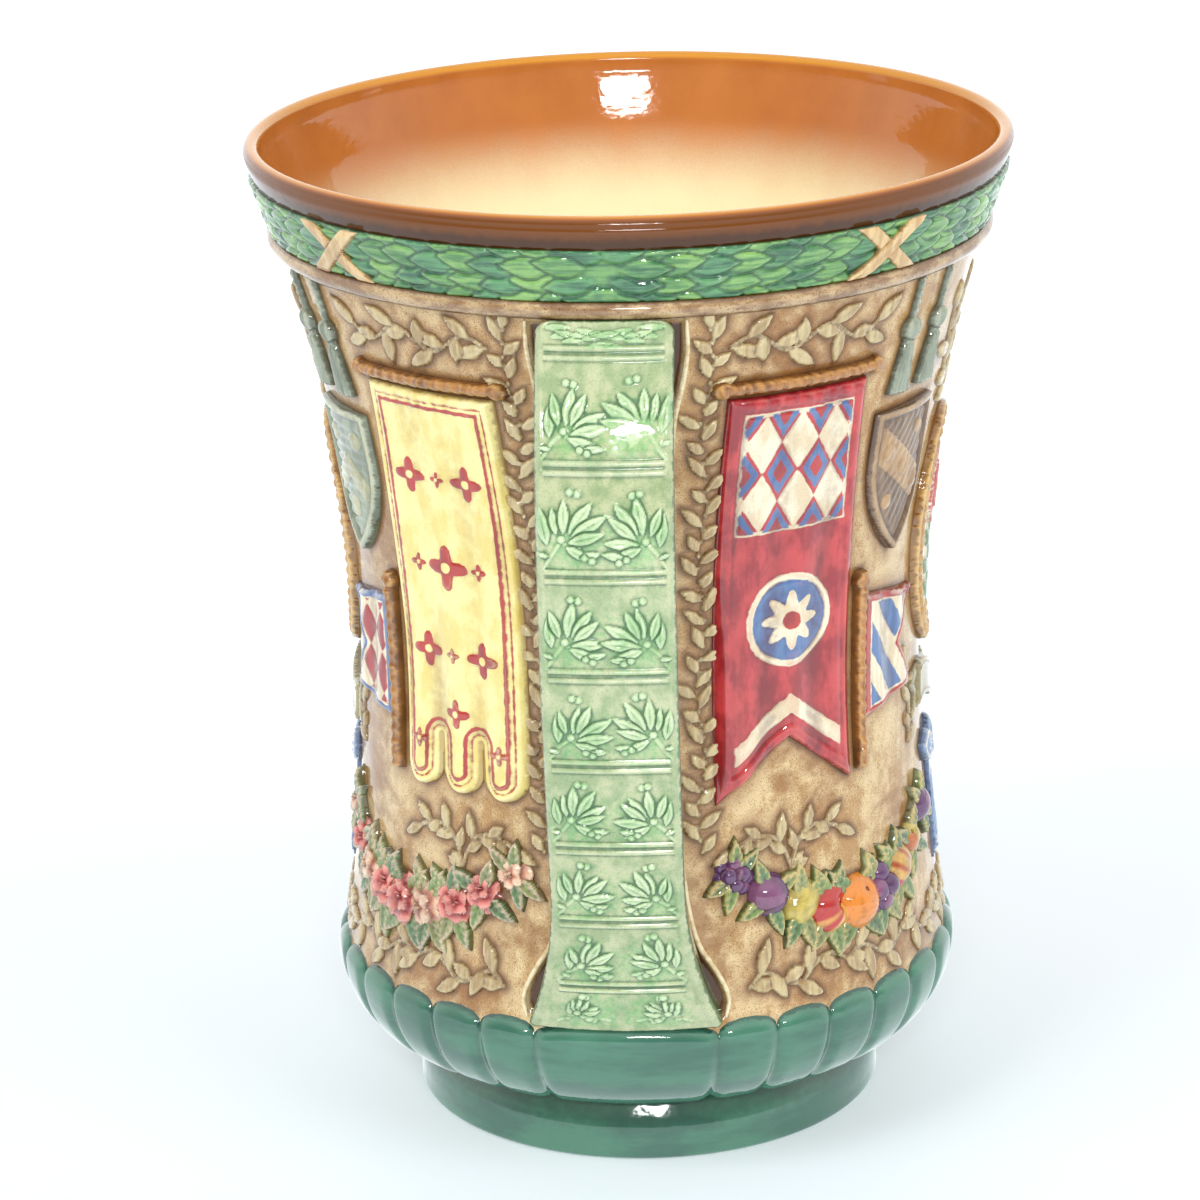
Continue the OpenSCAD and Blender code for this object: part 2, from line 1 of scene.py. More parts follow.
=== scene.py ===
"""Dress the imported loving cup: glazed relief pottery on a white studio floor.

Sizes are millimetres in the cup's own frame and become metres where a mesh is made. Angles are degrees
round the cup, counted from the front handle towards +X.
"""
import logging
import math
from abc import ABC, abstractmethod
from collections.abc import Callable, Sequence
from dataclasses import dataclass, field
from enum import Enum

import bpy
import numpy as np
from mathutils import Matrix, Vector


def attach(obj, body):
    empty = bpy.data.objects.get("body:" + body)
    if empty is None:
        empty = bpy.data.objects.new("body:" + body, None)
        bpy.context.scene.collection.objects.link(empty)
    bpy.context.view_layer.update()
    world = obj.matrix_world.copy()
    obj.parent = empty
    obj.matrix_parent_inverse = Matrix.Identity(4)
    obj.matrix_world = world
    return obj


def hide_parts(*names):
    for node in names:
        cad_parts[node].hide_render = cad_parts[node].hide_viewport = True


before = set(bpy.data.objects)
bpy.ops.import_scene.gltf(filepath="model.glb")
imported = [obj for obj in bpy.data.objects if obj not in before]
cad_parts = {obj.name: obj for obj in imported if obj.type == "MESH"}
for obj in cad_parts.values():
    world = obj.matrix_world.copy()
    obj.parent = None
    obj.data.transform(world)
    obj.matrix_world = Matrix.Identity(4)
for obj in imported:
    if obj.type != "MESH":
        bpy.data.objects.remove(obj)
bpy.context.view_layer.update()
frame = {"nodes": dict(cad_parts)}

MM = 0.001
SIDES = {"east": 0.0, "west": 180.0}
Array = np.ndarray
Point = tuple[float, float]
Triple = tuple[float, float, float]
Colour = tuple[int, int, int]
Field = Callable[[Array, Array], Array]
log = logging.getLogger("loving_cup")


# Shapes in the plane

def smooth(value: Array, low: float, high: float) -> Array:
    """Rise smoothly from 0 at low to 1 at high."""
    t = np.clip((value - low) / (high - low), 0, 1)
    return t * t * (3 - 2 * t)


def dome(depth: Array, rise: float, radius: float) -> Array:
    """Rise over a rounded edge, from 0 on an outline to a height at a depth inside it."""
    t = np.clip(depth / radius, 0, 1)
    return rise * np.sqrt(1 - (1 - t) ** 2)


def ridge(value: Array, width: float) -> Array:
    """Make a smooth ridge of height 1 where the value is 0."""
    return np.exp(-(value / width) ** 2)


def blurred(heights: Array, passes: int) -> Array:
    """Average a grid of heights with its neighbours.

    Args:
        heights: Heights on a regular grid.
        passes: How many times the grid is averaged.

    Returns:
        The softened grid.
    """
    for _ in range(passes):
        padded = np.pad(heights, 1, mode="edge")
        heights = (padded[:-2, 1:-1] + padded[2:, 1:-1] + padded[1:-1, :-2] + padded[1:-1, 2:]
                   + 4 * padded[1:-1, 1:-1]) / 8
    return heights


def polygon(points: Sequence[Point]) -> Field:
    """Make the signed distance to a closed outline, negative inside.

    Args:
        points: The outline's corners in order.

    Returns:
        A function of x and y.
    """
    corners = np.array(points, float)

    def distance(x: Array, y: Array) -> Array:
        """Measure how far points lie from the outline.

        Args:
            x: Points across.
            y: Points up.

        Returns:
            Distances, negative inside.
        """
        nearest = np.full(np.shape(x), np.inf)
        inside = np.zeros(np.shape(x), bool)
        for start, end in zip(corners, np.roll(corners, -1, axis=0)):
            edge = end - start
            dx, dy = x - start[0], y - start[1]
            t = np.clip((dx * edge[0] + dy * edge[1]) / (edge @ edge), 0, 1)
            nearest = np.minimum(nearest, (dx - edge[0] * t) ** 2 + (dy - edge[1] * t) ** 2)
            crosses = (start[1] <= y) != (end[1] <= y)
            inside ^= crosses & ((edge[0] * dy - edge[1] * dx > 0) == (edge[1] > 0))
        return np.where(inside, -1, 1) * np.sqrt(nearest)

    return distance


def disc(x: float, y: float, radius: float) -> Field:
    """Make the signed distance to a disc."""
    return lambda px, py: np.hypot(px - x, py - y) - radius


def oval(half_width: float, half_height: float) -> Field:
    """Make the signed distance to an oval centred on the origin, close to its edge.

    Args:
        half_width: Half its width.
        half_height: Half its height.

    Returns:
        A function of x and y.
    """
    def distance(x: Array, y: Array) -> Array:
        """Measure how far points lie from the oval.

        Args:
            x: Points across.
            y: Points up.

        Returns:
            Distances, negative inside.
        """
        k = np.hypot(x / half_width, y / half_height)
        slope = np.hypot(x / half_width ** 2, y / half_height ** 2)
        return k * (k - 1) / np.maximum(slope, 1e-6)
    return distance


def union(*fields: Field) -> Field:
    """Join outlines into one."""
    return lambda x, y: np.minimum.reduce([f(x, y) for f in fields])


def heading(angle: float) -> tuple[float, float]:
    """Find the cosine and the sine of an angle in degrees."""
    return math.cos(math.radians(angle)), math.sin(math.radians(angle))


def arc_points(x: float, y: float, radius: float, start: float, end: float, steps: int) -> list[Point]:
    """List points along an arc, with its angles in degrees."""
    return [(x + radius * c, y + radius * s) for c, s in map(heading, np.linspace(start, end, steps))]


@dataclass(frozen=True)
class Leaf:
    """A pointed leaf that lies in a plane.

    The base is at x and y, and the tip lies along the turn.
    """

    x: float
    y: float
    turn: float
    length: float
    width: float

    def axes(self, x: Array, y: Array) -> tuple[Array, Array]:
        """Find how far points lie along the leaf, as a share of its length, and across it."""
        c, s = heading(self.turn)
        return ((x - self.x) * c + (y - self.y) * s) / self.length, (y - self.y) * c - (x - self.x) * s

    def depth(self, x: Array, y: Array) -> Array:
        """Measure how deep points lie inside the leaf's edge; it is negative outside.

        Args:
            x: Points across.
            y: Points up.

        Returns:
            Depths.
        """
        u, v = self.axes(x, y)
        half = self.width / 2 * np.sin(np.pi * np.clip(u, 0, 1) ** 0.85)
        beyond = np.maximum(np.abs(u - 0.5) - 0.5, 0) * self.length
        return half - np.abs(v) - beyond

    def height(self, x: Array, y: Array, rise: float, lift: float = 0.0) -> Array:
        """Model the blade with its midrib, lifted towards its tip.

        Args:
            x: Points across.
            y: Points up.
            rise: Height of the blade.
            lift: How much higher the tip is than the base.

        Returns:
            Heights, 0 outside the leaf.
        """
        u, v = self.axes(x, y)
        depth = self.depth(x, y)
        blade = dome(depth, rise, 0.32 * self.width) + lift * np.clip(u, 0, 1)
        blade -= 0.35 * rise * ridge(v, 0.09 * self.width) * smooth(u, 0.0, 0.2)
        return np.where(depth > 0, blade * smooth(depth, 0, 0.08 * self.width), 0)


@dataclass
class LeafBed:
    """Leaves laid one over another on a grid of points, each with a groove round it."""

    x: Array
    y: Array
    ground: float
    height: Array = field(init=False)
    depth: Array = field(init=False)
    tint: Array = field(init=False)

    def __post_init__(self) -> None:
        """Start with bare ground."""
        self.height = np.full(self.x.shape, self.ground)
        self.depth = np.full(self.x.shape, -3.0)
        self.tint = np.zeros(self.x.shape)

    def cover(self, window: slice, inside: Array, shape: Array, gap: float, tone: float) -> None:
        """Lay one shape over what is there.

        Args:
            window: Rows of the grid that the shape can reach.
            inside: How deep points of those rows lie inside the shape.
            shape: Heights of the shape.
            gap: Width of the groove round it.
            tone: A number that varies its colour.
        """
        bare = self.ground + (self.height[window] - self.ground) * smooth(-inside, 0.0, gap)
        self.height[window] = np.where(inside > 0, shape, bare)
        cut = np.maximum(np.minimum(self.depth[window], -inside - gap), inside)
        self.depth[window] = np.where(inside > 0, inside, cut)
        self.tint[window] = np.where(inside > 0, tone, self.tint[window])

    def lay(self, window: slice, leaf: Leaf, rise: float, lift: float, gap: float, tone: float = 0.0) -> None:
        """Lay one leaf over what is there."""
        x, y = self.x[window], self.y[window]
        self.cover(window, leaf.depth(x, y), self.ground + leaf.height(x, y, rise, lift), gap, tone)

    def dot(self, window: slice, x: float, y: float, radius: float) -> None:
        """Lay one round berry over what is there.

        Args:
            window: Rows of the grid that it can reach.
            x: Its middle across.
            y: Its middle up.
            radius: Its radius.
        """
        away = np.hypot(self.x[window] - x, self.y[window] - y)
        bump = self.ground + 0.8 * np.sqrt(np.clip(radius ** 2 - away ** 2, 0, None))
        self.cover(window, radius - away, bump, 0.4, 0.5)

    def stem(self, window: slice, path: Sequence[Point], width: float, rise: float) -> None:
        """Lay a stem along a path, under what is there.

        Args:
            window: Rows of the grid that it can reach.
            path: Points along it.
            width: Its width.
            rise: Its height.
        """
        for (ax, ay), (bx, by) in zip(path, path[1:]):
            dx, dy = bx - ax, by - ay
            px, py = self.x[window] - ax, self.y[window] - ay
            t = np.clip((px * dx + py * dy) / (dx * dx + dy * dy), 0, 1)
            away = np.hypot(px - t * dx, py - t * dy)
            self.height[window] = np.maximum(self.height[window], self.ground + rise * ridge(away, width))
            self.depth[window] = np.maximum(self.depth[window], width - away)


# The cup's form

def arc_radius(length: float, bow: float) -> float:
    """Find the radius of an arc that leaves its tangent by a bow at a length along it."""
    return (length ** 2 + bow ** 2) / (2 * bow)


def swung(angle: float, right: Array, out: Array, up: Array) -> Array:
    """Carry points, given as right, out and up, to an angle round the cup."""
    c, s = heading(angle)
    return np.stack([right * c + out * s, right * s - out * c, up], -1)


@dataclass(frozen=True)
class CupForm:
    """The turned form of the cup, which every other piece sits on."""

    height: float
    rim_radius: float
    waist_radius: float = 75.0
    waist_z: float = 130.0
    belly_radius: float = 82.0
    belly_z: float = 44.0
    shoulder_radius: float = 26.0
    wall: float = 6.0
    floor: float = 7.0
    lip_band: float = 8.5
    laurel_depth: float = 14.0
    laurel_relief: float = 1.6
    cornice_depth: float = 4.5
    cornice_relief: float = 2.6
    lobe_top_angle: float = 6.0

    @property
    def lip_z(self) -> float:
        """Height of the middle of the lip's rounding."""
        return self.height - self.wall / 2

    @property
    def laurel_top(self) -> float:
        """Height of the laurel band's upper edge."""
        return self.height - self.lip_band

    @property
    def laurel_bottom(self) -> float:
        """Height of the laurel band's lower edge."""
        return self.laurel_top - self.laurel_depth

    @property
    def field_top(self) -> float:
        """Height at which the ornaments end, under the cornice."""
        return self.laurel_bottom - self.cornice_depth

    @property
    def field_bottom(self) -> float:
        """Height at which the ornaments begin, above the lobes."""
        return self.belly_z + self.shoulder_radius * math.sin(math.radians(self.lobe_top_angle))

    @property
    def shoulder_centre(self) -> float:
        """Distance from the axis to the middle of the shoulder's rounding."""
        return self.belly_radius - self.shoulder_radius

    @property
    def base_z(self) -> float:
        """Height of the floor's underside."""
        return self.belly_z - self.shoulder_radius

    def radius(self, z: Array) -> Array:
        """Find the bare wall's outer radius at a height.

        Args:
            z: Heights.

        Returns:
            Radii; below the belly they follow the shoulder.
        """
        z = np.asarray(z, float)
        above, below = self.lip_z - self.waist_z, self.waist_z - self.belly_z
        rise, swell = self.rim_radius - self.waist_radius, self.belly_radius - self.waist_radius
        arc = np.where(z > self.waist_z, arc_radius(above, rise), arc_radius(below, swell))
        away = np.clip(z - self.waist_z, self.belly_z - self.waist_z, above)
        wall = self.waist_radius + arc - np.sqrt(arc ** 2 - away ** 2)
        drop = np.clip(self.belly_z - z, 0, self.shoulder_radius)
        shoulder = self.shoulder_centre + np.sqrt(self.shoulder_radius ** 2 - drop ** 2)
        return np.where(z < self.belly_z, shoulder, wall)


@dataclass(frozen=True)
class Seat:
    """A place on the wall that a flat ornament is luted to."""

    angle: float
    z: float
    lift: float = 0.0

    def place(self, form: CupForm, x: Array, y: Array, height: Array) -> Array:
        """Carry points of a flat ornament onto the wall.

        Args:
            form: The cup's form.
            x: Points to the right, seen from outside.
            y: Points up.
            height: Height above the wall, or above the skin that the seat's lift names.

        Returns:
            Points in the cup's frame.
        """
        z = self.z + y
        out = np.sqrt((form.radius(z) + self.lift + height) ** 2 - x ** 2)
        return swung(self.angle, x, out, z)

    def seen(self, radius: Array, angle: Array, z: Array) -> tuple[Array, Array]:
        """Find where points of the wall lie in the flat ornament's own x and y."""
        return radius * np.sin(np.radians(angle - self.angle)), z - self.z


# Meshes

class Sculpt:
    """Closed shells with numbers painted on their points, gathered into one mesh."""

    def __init__(self) -> None:
        """Start with nothing."""
        self.points: list[Array] = []
        self.faces: list[list[int]] = []
        self.paint: list[dict[str, Array]] = []
        self.count = 0

    def add(self, points: Array, faces: Sequence[Array], paint: dict[str, Array]) -> None:
        """Add one shell.

        Args:
            points: Points in millimetres.
            faces: Arrays of faces with equal numbers of corners.
            paint: Numbers, colours or places at each point, by name.
        """
        used = np.zeros(len(points), bool)
        for group in faces:
            used[np.asarray(group, int).ravel()] = True
        index = np.cumsum(used) - 1 + self.count
        self.points.append(points[used])
        for group in faces:
            self.faces += index[np.asarray(group, int)].tolist()
        self.paint.append({name: values[used] for name, values in paint.items()})
        self.count += int(used.sum())

    def piece(self, name: str) -> bpy.types.Object:
        """Make the mesh object.

        Args:
            name: The piece's name.

        Returns:
            The object, smooth shaded and linked to the scene.
        """
        mesh = bpy.data.meshes.new(name)
        mesh.from_pydata((np.concatenate(self.points) * MM).tolist(), [], self.faces)
        for key in sorted({key for shell in self.paint for key in shell}):
            wide = next(shell[key] for shell in self.paint if key in shell).ndim == 2
            values = np.concatenate([
                shell.get(key, np.zeros((len(p), 3) if wide else len(p)))
                for shell, p in zip(self.paint, self.points)])
            layer = mesh.attributes.new(key, "FLOAT_VECTOR" if wide else "FLOAT", "POINT")
            layer.data.foreach_set("vector" if wide else "value", values.ravel().astype(np.float32))
        mesh.shade_smooth()
        mesh.validate()
        made = bpy.data.objects.new(name, mesh)
        bpy.context.scene.collection.objects.link(made)
        return made


class Relief:
    """A grid of points over a flat outline, with a height and painted numbers at each point.

    Points near the outline are moved onto it, so that the edge runs smoothly.
    """

    def __init__(self, outline: Field, low: Point, high: Point, pitch: float) -> None:
        """Lay out the grid.

        Args:
            outline: Signed distance to the outline.
            low: Lowest corner of the area to cover.
            high: Highest corner of that area.
            pitch: Distance between points.
        """
        self.outline, self.pitch = outline, pitch
        x, y = np.meshgrid(np.arange(low[0] - pitch, high[0] + 2 * pitch, pitch),
                           np.arange(low[1] - pitch, high[1] + 2 * pitch, pitch))
        away, step = outline(x, y), pitch / 10
        slope_x = (outline(x + step, y) - outline(x - step, y)) / (2 * step)
        slope_y = (outline(x, y + step) - outline(x, y - step)) / (2 * step)
        near = np.abs(away) < 0.55 * pitch
        move = np.where(near, away / np.maximum(slope_x ** 2 + slope_y ** 2, 0.2), 0)
        self.x, self.y = x - move * slope_x, y - move * slope_y
        self.kept = near | (away < 0)
        self.depth = np.where(near, 0, -away)
        # fold is added to the crest paint: painted light and shade on folds, lighter on their crests and darker in
        # their valleys.
        self.height, self.fold = np.zeros_like(away), np.zeros_like(away)
        self.paint: dict[str, Array] = {}

    def faces(self) -> tuple[Array, Array]:
        """Join the kept points into squares, and triangles along the outline.

        Returns:
            Faces of four and of three corners.
        """
        index = np.full(self.kept.shape, -1)
        index[self.kept] = np.arange(self.kept.sum())
        cells = [np.s_[:-1, :-1], np.s_[:-1, 1:], np.s_[1:, 1:], np.s_[1:, :-1]]
        corners = np.stack([index[c] for c in cells], -1)
        held = corners >= 0
        count = np.maximum(held.sum(-1), 1)
        middle = [(np.stack([a[c] for c in cells], -1) * held).sum(-1) / count for a in (self.x, self.y)]
        inside = self.outline(*middle) < 0.06 * self.pitch
        triangles = [corners[(count == 3) & inside & ~held[..., k]][:, [(k + j) % 4 for j in (1, 2, 3)]]
                     for k in range(4)]
        return corners[(count == 4) & inside & held.all(-1)], np.concatenate(triangles)

    def lute(self, sculpt: Sculpt, form: CupForm, seat: Seat, sink: float = 0.6) -> None:
        """Add the relief as a closed shell on the cup, sunk a little into what carries it.

        Args:
            sculpt: What it is added to.
            form: The cup's form.
            seat: Where it sits.
            sink: How far its back lies inside the surface.
        """
        quads, triangles = self.faces()
        n = int(self.kept.sum())
        edges = np.concatenate([g[:, [i, (i + 1) % g.shape[1]]]
                                for g in (quads, triangles) for i in range(g.shape[1])])
        rim = edges[~np.isin(edges[:, 0] * n + edges[:, 1], edges[:, 1] * n + edges[:, 0])]
        sides = np.stack([rim[:, 1], rim[:, 0], rim[:, 0] + n, rim[:, 1] + n], -1)
        x, y, height = self.x[self.kept], self.y[self.kept], self.height[self.kept]
        points = np.concatenate([seat.place(form, x, y, height), seat.place(form, x, y, np.full(n, -sink))])
        hill = np.where(self.kept, self.height, 0)
        # The folds go into the crest paint as painted light and shade.
        crest = hill - blurred(hill, int(3 / self.pitch)) + self.fold
        paint = {"depth": self.depth, "crest": crest, **self.paint}
        flat = np.stack([x, y, np.full(n, seat.angle)], -1)
        named = {name: np.tile(values[self.kept], 2) for name, values in paint.items()}
        sculpt.add(points, [quads, triangles, quads[:, ::-1] + n, triangles[:, ::-1] + n, sides],
                   {"flat": np.tile(flat, (2, 1)), **named})


def spun(angles: Array, radius: Array, z: Array) -> Array:
    """Turn sections round the cup's axis, with one row of points for each angle."""
    turn = np.radians(angles)[:, None]
    return np.stack([radius * np.sin(turn), -radius * np.cos(turn), z], -1)


def backed(front: Array, back: Array) -> Array:
    """Add the same values behind the end of every row."""
    return np.concatenate([front, np.tile(back, (len(front), 1))], 1)


def woven(rows: Array, beside: Array) -> Array:
    """Join a grid of points with the same grid moved by one column, into squares."""
    return np.stack([rows[:-1], beside[:-1], beside[1:], rows[1:]], -1).reshape(-1, 4)


def unit(vectors: Array) -> Array:
    """Scale vectors to a length of 1."""
    return vectors / np.linalg.norm(vectors, axis=-1, keepdims=True)


def ring_angles(columns: int) -> Array:
    """Spread angles evenly over a whole turn."""
    return np.arange(columns) * 360 / columns


def ring_piece(name: str, angles: Array, radius: Array, z: Array, paint: dict[str, Array]) -> bpy.types.Object:
    """Make a closed ring, given as one closed section at each angle.

    Args:
        name: The piece's name.
        angles: Angles round the cup, evenly spread over the whole turn.
        radius: Radii, by angle and by place along the section.
        z: Heights in the same order, or one row for all angles.
        paint: Numbers in the same order, or one row for all angles, by name.

    Returns:
        The piece.
    """
    points = spun(angles, radius, np.broadcast_to(z, radius.shape)).reshape(-1, 3)
    index = np.arange(radius.size).reshape(radius.shape)
    ahead, up = np.roll(index, -1, axis=0), np.roll(index, -1, axis=1)
    quads = np.stack([index, ahead, np.roll(ahead, -1, axis=1), up], -1).reshape(-1, 4)
    spread = {key: np.broadcast_to(values, radius.shape).reshape(-1) for key, values in paint.items()}
    sculpt = Sculpt()
    sculpt.add(points, [quads], {"flat": points, **spread})
    return sculpt.piece(name)


# Finishes

def linear(colour: Colour) -> tuple[float, float, float, float]:
    """Turn a colour of 0 to 255, as a screen shows it, into linear light."""
    share = [c / 255 for c in colour]
    return (*[c / 12.92 if c <= 0.04045 else ((c + 0.055) / 1.055) ** 2.4 for c in share], 1.0)


class Signal:
    """A value that flows through a material, with arithmetic that adds Math nodes."""

    def __init__(self, nodes: "Nodes", socket: bpy.types.NodeSocket) -> None:
        """Hold a node's output."""
        self.nodes, self.socket = nodes, socket

    def _math(self, operation: str, first: "Signal | float", second: "Signal | float") -> "Signal":
        """Add a Math node for two values."""
        return self.nodes.signal("ShaderNodeMath", {"operation": operation}, {0: first, 1: second})

    def __add__(self, other: "Signal | float") -> "Signal":
        """Add."""
        return self._math("ADD", self, other)

    def __radd__(self, other: float) -> "Signal":
        """Add to a number."""
        return self._math("ADD", other, self)

    def __sub__(self, other: "Signal | float") -> "Signal":
        """Subtract."""
        return self._math("SUBTRACT", self, other)

    def __rsub__(self, other: float) -> "Signal":
        """Subtract from a number."""
        return self._math("SUBTRACT", other, self)

    def __mul__(self, other: "Signal | float") -> "Signal":
        """Multiply."""
        return self._math("MULTIPLY", self, other)

    def __neg__(self) -> "Signal":
        """Change the sign."""
        return self._math("MULTIPLY", self, -1.0)

    def clamped(self) -> "Signal":
        """Keep the value between 0 and 1."""
        return self.nodes.signal("ShaderNodeClamp", {}, {0: self})

    def larger(self, other: "Signal | float") -> "Signal":
        """Take the larger of two values."""
        return self._math("MAXIMUM", self, other)


class Nodes:
    """A tree of nodes under construction."""

    def __init__(self, tree: bpy.types.NodeTree) -> None:
        """Hold the tree."""
        self.tree = tree

    def node(self, kind: str, settings: dict[str, object] | None = None,
             inputs: dict[int | str, object] | None = None) -> bpy.types.Node:
        """Add a node.

        Args:
            kind: The node's type.
            settings: Properties of the node, set first.
            inputs: Values or signals for its sockets.

        Returns:
            The node.
        """
        made = self.tree.nodes.new(kind)
        for name, value in (settings or {}).items():
            setattr(made, name, value)
        for name, value in (inputs or {}).items():
            if isinstance(value, Signal):
                self.tree.links.new(value.socket, made.inputs[name])
            else:
                made.inputs[name].default_value = value
        return made

    def signal(self, kind: str, settings: dict[str, object], inputs: dict[int | str, object],
               output: int | str = 0) -> Signal:
        """Add a node and take one of its outputs."""
        return Signal(self, self.node(kind, settings, inputs).outputs[output])

    def step(self, value: Signal, low: float, high: float, kind: str = "SMOOTHSTEP") -> Signal:
        """Rise from 0 at low to 1 at high."""
        return self.signal("ShaderNodeMapRange", {"interpolation_type": kind},
                           {0: value, 1: low, 2: high, 3: 0.0, 4: 1.0})


class Shader(Nodes):
    """A material under construction."""

    def __init__(self, name: str) -> None:
        """Start a material with one glossy surface.

        Args:
            name: The material's name.
        """
        self.material = bpy.data.materials.new(name)
        self.material.use_nodes = True
        super().__init__(self.material.node_tree)
        self.tree.nodes.clear()
        self.surface = self.node("ShaderNodeBsdfPrincipled")
        out = self.node("ShaderNodeOutputMaterial")
        self.tree.links.new(self.surface.outputs[0], out.inputs[0])

    def painted(self, name: str, output: str = "Fac") -> Signal:
        """Read what is painted on the mesh under a name."""
        return self.signal("ShaderNodeAttribute", {"attribute_name": name}, {}, output)

    def noise(self, place: Signal, rate: Triple, detail: float = 3.0) -> Signal:
        """Make cloudy noise of about 0 to 1, repeating at a rate for each axis.

        Args:
            place: Where it is read.
            rate: How fast it changes along each axis.
            detail: How much fine detail it has.

        Returns:
            The noise.
        """
        stretched = self.signal("ShaderNodeVectorMath", {"operation": "MULTIPLY"}, {0: place, 1: rate})
        cloud = self.signal("ShaderNodeTexNoise", {}, {
            "Vector": stretched, "Scale": 1.0, "Detail": detail, "Roughness": 0.55})
        return self.step(cloud, 0.28, 0.72, "LINEAR")

    def mix(self, factor: "Signal | float", first: "Signal | Colour", second: "Signal | Colour") -> Signal:
        """Mix two colours."""
        first, second = [c if isinstance(c, Signal) else linear(c) for c in (first, second)]
        return self.signal("ShaderNodeMix", {"data_type": "RGBA"}, {0: factor, 6: first, 7: second}, 2)

    def glaze(self, colour: Signal, roughness: Signal, bump: Signal, ior: float) -> None:
        """Cover the surface with clear glaze.

        Args:
            colour: Colour under the glaze.
            roughness: How rough the glaze is.
            bump: Small unevenness in millimetres.
            ior: Index of refraction, which sets how much is mirrored.
        """
        normal = self.node("ShaderNodeBump", {}, {"Strength": 0.8, "Distance": MM, "Height": bump})
        self.surface.inputs["IOR"].default_value = ior
        wires = {"Base Color": colour.socket, "Roughness": roughness.socket, "Normal": normal.outputs[0]}
        for name, socket in wires.items():
            self.tree.links.new(socket, self.surface.inputs[name])


@dataclass(frozen=True)
class Zone:
    """A painted area, whose signed distance in millimetres is painted on the mesh."""

    name: str
    colour: Colour
    shade: Colour
    soft: float = 0.2
    wobble: float = 0.35


@dataclass(frozen=True)
class Glaze:
    """Brushed colour under a clear glaze.

    Colour gathers in hollows and along edges, partly as a darker wash and partly as painted shade, and thins on crests,
    partly as thinner glaze and partly as a painted highlight.
    """

    slot: str
    ground: Colour
    shade: Colour
    pool: Colour
    light: Colour
    zones: tuple[Zone, ...] = ()
    stroke: Triple = (0.5, 0.07, 0.5)
    blot: float = 0.05
    edge: float = 0.5
    pooling_and_shade: float = 0.6
    thinning_and_highlight: float = 0.5
    crest: float = 0.35
    speckle: float = 0.15
    tinted: bool = False
    ior: float = 1.6

    def colour(self, shader: Shader) -> Signal:
        """Paint the surface.

        Args:
            shader: The material.

        Returns:
            Its colour.
        """
        place = shader.painted("flat", "Vector")
        strokes = shader.noise(place, self.stroke, 4.0)
        blots = shader.noise(place, (self.blot,) * 3)
        tone = shader.step(strokes * 0.6 + blots * 0.4, 0.32, 0.7)
        if self.tinted:
            paint = shader.painted("tint", "Vector")
            dark = shader.signal("ShaderNodeVectorMath", {"operation": "SCALE"}, {0: paint, "Scale": 0.7})
            colour = shader.mix(tone, paint, dark)
        else:
            colour = shader.mix(tone, self.ground, self.shade)
        waver = shader.noise(place, (0.5, 0.5, 0.5), 2.0) - 0.5
        for zone in self.zones:
            edge = shader.painted(zone.name) + waver * zone.wobble
            inside = 1.0 - shader.step(edge, -zone.soft, zone.soft)
            colour = shader.mix(inside, colour, shader.mix(tone, zone.colour, zone.shade))
        # Hollows and the edges near the outline take the pool colour: partly a darker wash that gathers there, partly
        # painted shade.
        crest = shader.painted("crest")
        rim = 1.0 - shader.step(shader.painted("depth") + waver * 0.6, 0.1, self.edge)
        hollow = 1.0 - shader.step(crest + waver * 0.1, -self.crest, 0.02)
        colour = shader.mix((rim.larger(hollow) * self.pooling_and_shade).clamped(), colour, self.pool)
        # Crests take the light colour: partly thinner glaze, partly a painted highlight.
        bare = shader.step(crest, 0.3 * self.crest, 1.6 * self.crest) * (1.0 - rim)
        colour = shader.mix(bare * self.thinning_and_highlight, colour, self.light)
        grain = shader.step(shader.noise(place, (2.2, 2.2, 2.2), 2.0), 0.62, 0.9)
        return shader.mix(grain * self.speckle, colour, self.pool)

    def dress(self, piece: bpy.types.Object) -> None:
        """Give a piece this finish.

        Args:
            piece: The object.
        """
        shader = Shader(self.slot)
        place = shader.painted("flat", "Vector")
        skin = shader.noise(place, (0.25, 0.25, 0.25), 2.0)
        shader.glaze(self.colour(shader), 0.05 + skin * 0.06, skin * 0.04, self.ior)
        piece.data.materials.append(shader.material)


